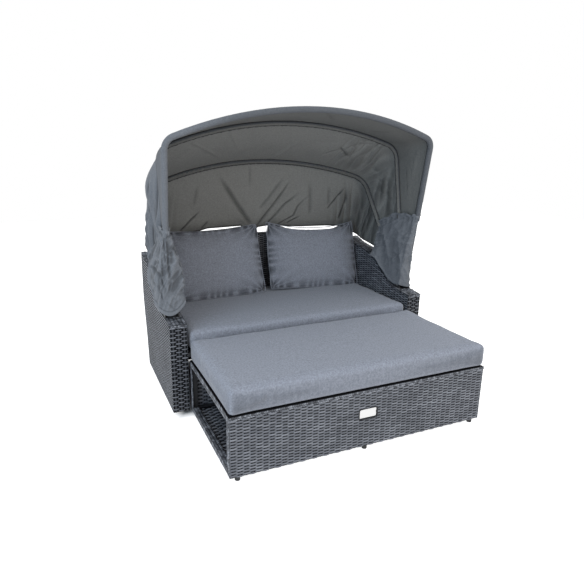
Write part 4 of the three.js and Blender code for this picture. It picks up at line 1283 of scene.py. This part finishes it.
def hem_points():
    """The rear cloth's hem, from its right front end round the back to its left one."""
    at, out, leg, crown = bow_line(BOWS["rear"], PANEL_END)
    side = np.where(at[:, 0] < 0, -1.0, 1.0)
    y_leg = HEM_START + (HEM_CORNER - HEM_START) * (1 - leg)
    back = ease((y_leg - 0.53) / 0.11)
    lift = np.where(side < 0, 0.006 + HEM_LIFT[-1] * back, HEM_LIFT[1])
    hem = np.empty((len(at), 3))
    away = np.zeros((len(at), 3))
    hem[:, 0] = side * (HEM_CORNER + HEM_ROUND - 0.012 * (1 - back) * (side < 0))
    hem[:, 1] = y_leg
    hem[:, 2] = arm_top_at(y_leg) + lift
    away[:, 0] = side
    turn = math.pi / 2 * crown
    rear = rear_at(0.65) - 0.002
    past = crown > 0
    hem[past, 0] = (side * (HEM_CORNER + HEM_ROUND * np.cos(turn)))[past]
    hem[past, 1] = (HEM_CORNER + (rear - HEM_CORNER) * np.sin(turn))[past]
    over = np.interp(side * HEM_CORNER, HEM_X, HEM_Z)
    hem[past, 2] = ((1 - crown) * (arm_top_at(HEM_CORNER) + lift) + crown * over)[past]
    away[past, 0] = (side * np.cos(turn))[past]
    away[past, 1] = np.sin(turn)[past]
    full = crown == 1
    half = len(at) // 2
    x = side * HEM_CORNER * np.abs(np.arange(len(at)) - half) / CROWN_STEPS
    hem[full, 0] = x[full]
    hem[full, 1] = rear
    hem[full, 2] = np.interp(x, HEM_X, HEM_Z)[full]
    away[full] = (0, 1, 0)
    hem[:, 1] += ARM_FRONT
    return hem, away, at, out, leg, crown


# Where the tie gathers the rear cloth, in X and Z
TIE = (-0.03, 0.775)

# Lines of the larger folds of the rear cloth in X and Z, with width, depth and shade
REAR_CREASES = (
    (((-0.050, 0.800), (-0.161, 0.956), (-0.270, 1.110)), 0.017, 0.011, 0.55),
    (((-0.061, 1.040), (-0.065, 1.150)), 0.010, 0.003, 0.25),
    (((-0.397, 0.935), (-0.380, 1.044)), 0.014, 0.004, 0.25),
    (((-0.471, 0.780), (-0.410, 0.842), (-0.350, 0.895)), 0.007, 0.008, 0.9),
    (((-0.345, 0.784), (-0.300, 0.830)), 0.010, 0.006, 0.6),
    (((0.000, 0.777), (0.092, 0.891), (0.156, 0.980), (0.215, 1.075)), 0.010, 0.010, 0.65),
    (((0.020, 0.890), (0.073, 0.956), (0.170, 1.085)), 0.013, 0.006, 0.35),
    (((0.060, 0.779), (0.180, 0.908), (0.290, 0.985)), 0.009, 0.009, 0.6),
    (((0.140, 0.780), (0.243, 0.830), (0.262, 0.887), (0.340, 0.965)), 0.008, 0.008, 0.6),
    (((0.204, 0.785), (0.300, 0.832)), 0.007, 0.006, 0.7),
    (((0.353, 0.850), (0.325, 1.055)), 0.016, 0.006, 0.30),
    (((0.470, 0.900), (0.450, 1.020)), 0.012, 0.005, 0.30),
    (((0.470, 0.870), (0.560, 1.010)), 0.007, 0.008, 0.8),
    (((0.560, 0.800), (0.575, 0.930), (0.560, 1.010)), 0.008, 0.009, 0.7),
)


def rear_panel(name):
    bow = BOWS["rear"]
    hem, away, at, out, leg, crown = hem_points()
    slack = ease(1 - crown) * (1 - ease(leg * 1.6)) * (at[:, 0] < 0)
    leave = bow_direction(bow, out, np.radians(15 + (42 - 15) * crown) * (1 - slack))
    straight = bow_direction(bow, out, 0)
    first = on_bow(bow, at) + leave * CREST
    run = np.concatenate([[0], np.cumsum(np.linalg.norm(np.diff(hem, axis=0), axis=1))])
    full = np.where(at[:, 0] < 0, 0.014, 0.024) * np.sin(math.pi * leg)
    full += np.where(at[:, 0] < 0, 0.008, 0.024) * (1 - ease(leg * 2 - 1))

    def place(i, v):
        way = v[:, None]
        point = first[i] * (1 - way) + hem[i] * way
        normal = unit(leave[i] * (1 - way) + away[i] * way)
        hang = np.sin(math.pi * v ** 0.45) ** 1.3
        bend = hang * full[i] * (1 - crown[i])
        bend = bend + 0.004 * slack[i] * np.sin(math.pi * v ** 0.33) ** 2
        start = OUTSET * slack[i] * (1 - ease(v * 3))
        forward = 0.085 * np.sin(math.pi * np.minimum(1, v * 1.02)) * leg[i] ** 5
        point = point + normal * bend[:, None] + straight[i] * start[:, None]
        point[:, 1] -= forward
        return point
    obj, i, v = strip_between(name, 88, len(leg) - 1, place)
    co = coords(obj)
    x, z = co[:, 0], co[:, 2]
    crown, leg = crown[i], leg[i]
    lines, shade = grooves(x, z, REAR_CREASES)
    still = ease(v * 6) * ease((1 - v) * 9 + 0.25)
    turned = np.arctan2(z - TIE[1], x - TIE[0])
    reach = np.hypot(x - TIE[0], z - TIE[1])
    soft = 0.004 * np.cos(9 * turned) * ease(reach / 0.12) * np.exp(-reach / 0.35)
    back = lines + soft + 0.004 * crumple(x, z, 0.075) + 0.0025 * drift(x, z, 0.14)
    ends = ease((np.abs(x) - 0.46) / 0.12) * (1 - ease((leg - 0.1) / 0.4) * 0.6)
    wave = ridged(run[i] * 78 + 1.2 * np.sin(run[i] * 21) + 1.2 * v)
    gather = 0.012 * wave * ends * ease(v * 2.2) * np.where(x > 0, 1.0, 0.7)
    long = side_folds(co) * (1 - crown)
    height = still * (back * crown + gather + long)
    # Painted shade in the folds and gathers, and a dark band along the hem for the shade under its fold
    shade = shade * crown + 0.32 * np.clip(-gather / 0.005, 0, 1) * ease(v * 2)
    shade = shade + fold_shade(x, long) * still
    shade = shade + 0.8 * ease((v - 0.965) * 40)
    return pushed(obj, (0, 1, 0), height, shade)


def sleeve(name, bow, radius, start, shift=0.0, puckers=0.0):
    """A sleeve of cloth round a bow. shift moves it inwards off the bow's line."""
    at, out, _, _ = bow_line(bow, start)
    line = on_bow(bow, at - out * shift)
    index = np.arange(len(line))
    radii = radius * (1 + puckers * np.sin(index * 0.9) * np.sin(index * 0.31 + 1))
    return tube(name, line, radii, 14)


def seam_line(name, bow, start, across, back, radius, frill=0.0):
    """A stitched seam that follows a bow, off its line by across inwards and back behind it. Its
    near-black tube is partly stitching and partly a painted shadow along the seam.
    """
    at, out, _, _ = bow_line(bow, start)
    index = np.arange(len(at))
    wave = across + frill * np.sin(index * 1.1) * np.sin(index * 0.37)
    return tube(name, on_bow(bow, at - out * wave[:, None], back), radius, 6)


# Tilts of a skirt's top from front to rear: those of the bows, and a little past both ends
SKIRT_TILTS = (11.7, 9.0, -10.5, -36.5, -38.0)
# Half the width of a skirt's gathered top, how far its inner side stands out at least, and how far
# the middle of its hem is from the daybed's
SKIRT_THROAT = 0.0175
SKIRT_INSIDE = 0.057
SKIRT_MIDDLE = 0.674
# Of each skirt: the depths of its hem's points, how far they stand over the arm's top on the
# inside and on the outside, how far its rear end leans inwards, how far its outer side stands out,
# how much farther its inner side does, and how far its front sags
SKIRT_PLANS = {
    "right": ((0.080, 0.126, 0.170, 0.213, 0.248, 0.285, 0.345),
              (0.030, 0.020, 0.018, 0.020, 0.030, 0.055, 0.040),
              (0.018, 0.000, -0.015, -0.020, -0.015, 0.000, 0.030), 0.058, 0.030, 0.0, 0.010),
    "left": ((0.032, 0.080, 0.150, 0.200, 0.260, 0.330, 0.400),
             (0.078, 0.100, 0.085, 0.060, 0.048, 0.052, 0.050),
             (0.052, 0.045, 0.052, 0.048, 0.030, 0.005, 0.030), 0.0, 0.063, 0.020, 0.030),
}

# Folds on the front of a skirt: points of its distance from the middle and of its height
SKIRT_CREASES = (
    (((0.688, 0.850), (0.684, 0.740), (0.676, 0.620)), 0.011, 0.004, 0.22),
    (((0.705, 0.830), (0.694, 0.700)), 0.006, 0.003, 0.15),
    (((0.735, 0.700), (0.700, 0.610)), 0.007, 0.004, 0.15),
    (((0.700, 0.560), (0.650, 0.510)), 0.006, 0.004, 0.15),
    (((0.740, 0.640), (0.710, 0.545)), 0.007, 0.004, 0.15),
)


def skirt_surface(name, side, plan, rows=80, columns=240):
    """The bag of cloth round the three legs over the arm, open at its top and bottom."""
    tilts = np.radians(SKIRT_TILTS)
    reach = SKIRT_TOP - (0.016 if side > 0 else 0.010)
    top_y = PIVOT[0] - reach * np.sin(tilts)
    top_z = PIVOT[1] + reach * np.cos(tilts)
    depths, inner, outer, lean, outside, inside, sag = plan
    stops = np.linspace(0, 1, len(depths))
    obj = grid(name, columns, rows)
    uv = coords(obj)

    def place(u, v, w):
        # Once round: the outer side, the rear end, the inner side, the front end
        turn = 2 * math.pi * u
        q = 0.5 - 0.5 * np.cos(turn)
        across = np.clip(np.sin(turn) * 2.4, -1, 1)
        depth = top_y[0] + (top_y[-1] - top_y[0]) * q
        z_top = np.interp(depth, top_y, top_z)
        hem_y = np.interp(q, stops, depths)
        out = 0.5 + 0.5 * across
        lift = np.interp(q, stops, outer) * out + np.interp(q, stops, inner) * (1 - out)
        lift = lift - sag * (1 - across ** 2) * (q < 0.5)
        y = depth * (1 - v) + hem_y * v
        z = z_top * (1 - v) + (arm_top_at(hem_y) + lift) * v
        edge = 0.82 + 0.18 * (1 - (2 * q - 1) ** 4)
        bulge = np.sin(math.pi / 2 * np.minimum(1, v / 0.77))
        flare = ease(1 - v / 0.06)
        waist = np.exp(-((v - 0.075) / 0.03) ** 2)
        half = np.where(across > 0, outside, SKIRT_INSIDE + inside * (1 - q))
        half = (SKIRT_THROAT + (half - SKIRT_THROAT) * bulge) * edge
        half = half + flare * (0.006 + 0.003 * np.sin(2 * math.pi * 17 * u)) - 0.003 * waist
        legs = BOWS["front"]["half"] + (BOWS["rear"]["half"] - BOWS["front"]["half"]) * q
        middle = legs + (SKIRT_MIDDLE - legs) * np.minimum(1, 2 * v) - lean * q ** 3 * v ** 2
        z = z + flare * 0.004 * np.sin(2 * math.pi * 11 * u + 1)
        return side * (middle + across * half), y + ARM_FRONT, z
    laid(obj, place)
    u, v = uv[:, 0], uv[:, 1]
    turn = 2 * math.pi * u
    long = ridged(3.5 * turn + 1.4 * np.sin(4 * v + 1)) * 0.007
    long = long + ridged(6.5 * turn + 2.2 * np.sin(3 * v)) * 0.003
    co = coords(obj)
    flat = np.abs(co[:, 0]) + co[:, 1] * 0.55
    front = ease((0.26 - co[:, 1]) / 0.16)
    lines, dark = grooves(np.abs(co[:, 0]), co[:, 2], SKIRT_CREASES)
    long = long - lines * front
    fine = crumple(flat, co[:, 2], 0.030) * 0.010 + crumple(co[:, 2] + flat, flat, 0.015) * 0.006
    gather = ridged(11 * turn) * 0.006 * np.exp(-np.maximum(0, v - 0.05) / 0.10) * (v > 0.05)
    rim = ease((v - 0.955) * 60) * 0.0025
    height = (long * np.sin(math.pi * np.minimum(1, 0.08 + v * 0.80)) + fine * ease(v * 6)
              * (1 - 0.6 * v ** 6) + gather + rim - 0.004)
    # Painted shade in the hollows, under the gathered top, along the hem and in the front's folds, much less
    # on the right skirt
    shade = 0.5 * np.clip(-(height + 0.007) / 0.006, 0, 1) + 0.6 * np.exp(-((v - 0.078) / 0.014) ** 2)
    shade = shade + 0.5 * np.exp(-((v - 0.948) / 0.006) ** 2) + dark * front
    shade = shade * (0.25 if side > 0 else 1.0)
    point_values(obj, "height", height)
    point_values(obj, "painted_shade", np.clip(shade, 0, 1))
    bpy.ops.object.mode_set(mode="EDIT")
    bpy.ops.mesh.select_all(action="SELECT")
    bpy.ops.mesh.remove_doubles(threshold=MERGE / 10)
    bpy.ops.object.mode_set(mode="OBJECT")
    outwards(obj)
    count = len(obj.data.vertices)
    height, shade = np.empty(count), np.empty(count)
    obj.data.attributes["height"].data.foreach_get("value", height)
    obj.data.attributes["painted_shade"].data.foreach_get("value", shade)
    normals = np.empty(count * 3)
    obj.data.vertices.foreach_get("normal", normals)
    return set_coords(obj, coords(obj) + normals.reshape(-1, 3) * height[:, None])


def fan_weights(obj, low, high):
    """Makes a blended cloth turn as a fan: each point by its own angle between two bows.
    It follows the first body at the angle low and the second at high, seen from the pivot."""
    co = coords(obj)
    angle = np.degrees(np.arctan2(co[:, 2] - PIVOT[1], co[:, 1] - ARM_FRONT - PIVOT[0]))
    share = np.clip((angle - low) / (high - low), 0, 1)
    return point_values(obj, "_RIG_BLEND", share)


def bow_angle(name):
    """Angle of a bow from the horizontal behind the pivot."""
    return 90 + BOWS[name]["tilt"]


def fan(obj, first, second):
    """Blends a cloth between the bodies of two bows by its angle about their pivot."""
    pivot = (0, PIVOT[0] + ARM_FRONT, PIVOT[1])
    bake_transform(obj, f"{first}_bow", f"{second}_bow", pivot, (0, pivot[1] + 0.1, pivot[2] + 0.5))
    return fan_weights(obj, bow_angle(first), bow_angle(second))


def tie_strap(name, node):
    """A flat strap with a knot, on the place of its CAD node."""
    low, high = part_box(node)
    strap = grid(name, 8, 40)

    def place(u, v, w):
        knot = np.exp(-((v - 0.72) / 0.06) ** 2)
        half = (high[0] - low[0]) / 2 * (1 - 0.35 * knot + 0.10 * np.cos(9 * v))
        sway = 0.0015 * np.sin(7 * v)
        return ((low[0] + high[0]) / 2 + (2 * u - 1) * half + sway,
                high[1] + 0.0006 + 0.004 * knot * (1 - (2 * u - 1) ** 2) + 0.001 * np.sin(12 * v) ** 2,
                low[2] + (high[2] - low[2]) * v)
    facing(laid(strap, place), (0, 1, 0))
    return strap


class DAYBED_OT_hood(bpy.types.Operator):
    """Make the hood's cloth, its sleeves and its seams"""
    bl_idname = "daybed.hood"
    bl_label = "Make Hood"

    def execute(self, context):
        settings = context.scene.daybed_hood
        material = fabric("hood_fabric", settings.fabric, settings.fabric_light, 0.05)
        # The inside is a lighter, warmer copy of the same cloth: painted light
        painted_light_inside = fabric("hood_inside", settings.inside, settings.inside_light, 0.05)
        stitch = plain("stitches_and_painted_shadow", settings.stitch, 0.9)
        front = front_panel("hood_front_cloth")
        middle = middle_panel("hood_middle_cloth")
        rear = rear_panel("hood_rear_cloth")
        # Of each cloth: its node, the bows that it hangs between, its flat size and its flat area
        sheets = (
            (front, "hood_front_panel", ("front", "middle"), (0.31, 2.32), 0.62),
            (middle, "hood_middle_panel", ("middle", "rear"), (0.46, 2.30), 0.75),
            (rear, "hood_rear_panel", None, (0.50, 2.40), 0.82),
        )
        for obj, node, bodies, flat, area in sheets:
            paint(obj, material, painted_light_inside)
            thickened(obj, settings.cloth, -1.0, 1)
            smooth(obj, 60)
            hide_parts(node)
            if bodies:
                fan(obj, *bodies)
            else:
                start = on_bow(BOWS["rear"], np.array([[0, BOWS["rear"]["top"]]]))[0]
                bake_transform(obj, "rear_bow", "sofa", tuple(start), (0, 0.635, 0.75))
        strap = tie_strap("hem_strap", "hem_tie")
        paint(strap, material)
        thickened(strap, settings.cloth, -1.0)
        smooth(strap, 60)
        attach(strap, "sofa")
        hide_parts("hem_tie")
        # Of each sleeve: its bow, its radius, how far inwards it lies, its puckers, and how far its
        # seams are turned about it
        plans = (
            ("front", settings.sleeve, 0.0, 0.01, 0.0),
            ("middle", settings.pocket, 0.004, 0.05, 0.0),
            ("rear", settings.pocket, 0.004, 0.07, 0.37),
        )
        for name, radius, shift, puckers, tilted in plans:
            bow = BOWS[name]
            piece = sleeve(f"{name}_sleeve", bow, radius, PANEL_END, shift, puckers)
            at = coords(piece)
            # Painted shade: the pockets darker all over and more towards the crown, the front sleeve darker
            # towards its right
            if shift:
                point_values(piece, "painted_shade", 0.15 * ease((at[:, 2] - 0.85) / 0.15) + 0.32)
            else:
                point_values(piece, "painted_shade", 0.16 + 0.26 * ease((at[:, 0] + 0.62) / 0.3))
            paint(piece, material, painted_light_inside)
            co = centres(piece)
            normal = np.empty(len(piece.data.polygons) * 3)
            piece.data.polygons.foreach_get("normal", normal)
            normal = normal.reshape(-1, 3)
            # The pockets' faces towards the inside of the hood take the inside's lighter colour, painted
            # light
            within = (normal[:, 0] * co[:, 0] + normal[:, 2] * (co[:, 2] - 0.90) < 0) & (shift > 0)
            piece.data.polygons.foreach_set("material_index", within.astype(np.int32))
            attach(piece, f"{name}_bow")
            # Of each seam: how far inwards and behind the bow it lies, its width and its frill
            # Near-black seams: partly stitching, partly painted shadow
            edges = ((0.013, 0.009, 0.8, 0),) if name == "front" else (
                (-0.0075, tilted * -radius, 1.3, 0), (0.0150, tilted * radius, 1.35, 0.0010))
            seams = [seam_line("seam", bow, PANEL_END, across, back, settings.seam * wide, frill)
                     for across, back, wide, frill in edges]
            lines = joined(f"{name}_seams", seams)
            paint(lines, stitch)
            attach(lines, f"{name}_bow")
        return {"FINISHED"}


class DAYBED_OT_skirts(bpy.types.Operator):
    """Make the loose skirts over the pivots"""
    bl_idname = "daybed.skirts"
    bl_label = "Make Skirts"

    def execute(self, context):
        settings = context.scene.daybed_hood
        material = fabric("hood_fabric", settings.fabric, settings.fabric_light, 0.05)
        for side, name in ((1, "right"), (-1, "left")):
            obj = skirt_surface(f"{name}_skirt_cloth", side, SKIRT_PLANS[name])
            paint(obj, material)
            thickened(obj, settings.cloth, -1.0)
            smooth(obj, 60)
            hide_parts(f"{name}_skirt")
            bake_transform(obj, "sofa", "rear_bow", (0, 0.2, 0.60), (0, 0.2, 0.80))
        return {"FINISHED"}


# Finishes and stage

class DAYBED_OT_finishes(bpy.types.Operator):
    """Give the frame, bolts and feet their finishes, and the hidden weaves a near-black painted shade"""
    bl_idname = "daybed.finishes"
    bl_label = "Paint Frame Parts"

    def execute(self, context):
        settings = context.scene.daybed_weave
        hood = context.scene.daybed_hood
        kinds = (
            # The hidden weaves are near black, a painted shade seen through the gaps between strands
            (("wicker", "weave", "sleeve"), plain("painted_gap_shade", settings.base, 0.9, 0.0, 0.05)),
            (("bolt", "nut", "screw"), plain("zinc", (0.50, 0.51, 0.52), 0.35, 1.0)),
            (("foot",), plain("foot_plastic", (0.008, 0.008, 0.008), 0.6)),
            (("tie", "panel", "skirt"), fabric("hood_fabric", hood.fabric, hood.fabric_light, 0.05)),
            (("cushion", "pillow"), plain("cushion_base", (0.12, 0.13, 0.15), 0.9)),
            (("frame", "bow", "bracket", "rail"), plain("coated_frame", (0.018, 0.018, 0.02), 0.45)),
        )
        for name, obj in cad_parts.items():
            for words, material in kinds:
                if any(word in name for word in words):
                    paint(obj, material)
                    break
            else:
                raise RuntimeError(f"no finish for {name}")
        return {"FINISHED"}


# Where the floor doesn't glow, under the sofa, as a painted shadow: an axis, a middle and half a
# size. The glow comes back over GLOW_EDGE.
SHADED = (("X", 0.0, 0.64), ("Y", 0.245, 0.29))
GLOW_EDGE = 0.06
# Of each lamp: its place, its size, its share of the key light's power, and its colour
LAMPS = {
    "key": ((0.3, -4.2, 2.5), 2.4, 1.0, (1.0, 0.97, 0.92)),
    "top": ((0.0, -1.2, 4.2), 3.0, 1.7, (0.86, 0.93, 1.0)),
    "sky": ((-4.2, -2.6, 2.2), 3.0, 2.6, (0.50, 0.75, 1.0)),
}
LAMP_AIM = (0.0, 0.0, 0.5)
# The photograph's camera: place, degrees down and to the right, lens and shifts
CAMERA_PLACE = (-1.1414, -2.2646, 1.2636)
CAMERA_DOWN, CAMERA_RIGHT = 15.321, 22.109
CAMERA_LENS = 31.685
CAMERA_SHIFT = (0.0518, -0.0137)


def glow_outside(material, shader, strength):
    """Lets the floor glow, but not under the sofa, where the dark floor is a painted shadow."""
    nodes, links = material.node_tree.nodes, material.node_tree.links
    place = nodes.new("ShaderNodeTexCoord")
    apart = nodes.new("ShaderNodeSeparateXYZ")
    links.new(place.outputs["Object"], apart.inputs["Vector"])
    farther = nodes.new("ShaderNodeMath")
    farther.operation = "MAXIMUM"
    for i, (axis, middle, half) in enumerate(SHADED):
        shift = nodes.new("ShaderNodeMath")
        shift.operation = "SUBTRACT"
        shift.inputs[1].default_value = middle
        size = nodes.new("ShaderNodeMath")
        size.operation = "ABSOLUTE"
        edge = nodes.new("ShaderNodeMapRange")
        edge.inputs["From Min"].default_value = half
        edge.inputs["From Max"].default_value = half + GLOW_EDGE
        links.new(apart.outputs[axis], shift.inputs[0])
        links.new(shift.outputs[0], size.inputs[0])
        links.new(size.outputs[0], edge.inputs["Value"])
        links.new(edge.outputs["Result"], farther.inputs[i])
    glow = nodes.new("ShaderNodeMath")
    glow.operation = "MULTIPLY"
    glow.inputs[1].default_value = strength
    links.new(farther.outputs[0], glow.inputs[0])
    links.new(glow.outputs[0], shader.inputs["Emission Strength"])


class DAYBED_OT_stage(bpy.types.Operator):
    """Set the floor, the light and the camera"""
    bl_idname = "daybed.stage"
    bl_label = "Set Stage"

    def execute(self, context):
        settings = context.scene.daybed_stage
        scene = context.scene
        bpy.ops.object.select_all(action="DESELECT")
        bpy.ops.mesh.primitive_plane_add(size=settings.floor_size, location=(0, 0, -0.0005))
        floor = bpy.context.object
        floor.name = "floor"
        paper = plain("floor_paint", settings.floor, 0.9)
        shader = paper.node_tree.nodes["Principled BSDF"]
        shader.inputs["Emission Color"].default_value = (1.0, 1.0, 1.0, 1)
        glow_outside(paper, shader, settings.floor_glow)
        paint(floor, paper)
        world = bpy.data.worlds.new("daylight")
        world.use_nodes = True
        background = world.node_tree.nodes["Background"]
        background.inputs["Color"].default_value = (1.0, 1.0, 1.0, 1)
        background.inputs["Strength"].default_value = 1.0
        scene.world = world
        scene.view_settings.view_transform = "Standard"
        for name, (place, size, share, tint) in LAMPS.items():
            bpy.ops.object.light_add(type="AREA", location=place)
            lamp = bpy.context.object
            lamp.name = name
            lamp.data.size = size
            lamp.data.energy = settings.light_power * share
            lamp.data.color = tint
            aim = np.array(LAMP_AIM) - np.array(place)
            flat = math.hypot(aim[0], aim[1])
            lamp.rotation_euler = (math.atan2(flat, -aim[2]), 0,
                                   math.atan2(aim[1], aim[0]) - math.pi / 2)
        bpy.ops.object.camera_add(location=CAMERA_PLACE,
                                  rotation=(math.radians(90 - CAMERA_DOWN), 0,
                                            math.radians(-CAMERA_RIGHT)))
        camera = bpy.context.object
        camera.name = "camera"
        camera.data.sensor_width = 36
        camera.data.lens = CAMERA_LENS
        camera.data.shift_x, camera.data.shift_y = CAMERA_SHIFT
        scene.camera = camera
        return {"FINISHED"}


# Add-on

class DAYBED_PT_panel(bpy.types.Panel):
    bl_label = "Daybed"
    bl_idname = "DAYBED_PT_panel"
    bl_space_type = "VIEW_3D"
    bl_region_type = "UI"
    bl_category = "Daybed"

    def draw(self, context):
        for step in STEPS:
            self.layout.operator(step.bl_idname)


STEPS = (DAYBED_OT_finishes, DAYBED_OT_weave, DAYBED_OT_cushions, DAYBED_OT_pillows,
         DAYBED_OT_hood, DAYBED_OT_skirts, DAYBED_OT_stage)
SETTINGS = {
    "daybed_weave": DaybedWeaveSettings,
    "daybed_cushion": DaybedCushionSettings,
    "daybed_hood": DaybedHoodSettings,
    "daybed_stage": DaybedStageSettings,
}


def register():
    for kind in (*SETTINGS.values(), *STEPS, DAYBED_PT_panel):
        bpy.utils.register_class(kind)
    for name, kind in SETTINGS.items():
        setattr(bpy.types.Scene, name, bpy.props.PointerProperty(type=kind))


def unregister():
    for name in SETTINGS:
        delattr(bpy.types.Scene, name)
    for kind in reversed((*SETTINGS.values(), *STEPS, DAYBED_PT_panel)):
        bpy.utils.unregister_class(kind)


def main():
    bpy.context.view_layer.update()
    register()
    bpy.ops.daybed.finishes()
    bpy.ops.daybed.weave()
    bpy.ops.daybed.cushions()
    bpy.ops.daybed.pillows()
    bpy.ops.daybed.hood()
    bpy.ops.daybed.skirts()
    bpy.ops.daybed.stage()


if __name__ == "__main__":
    main()
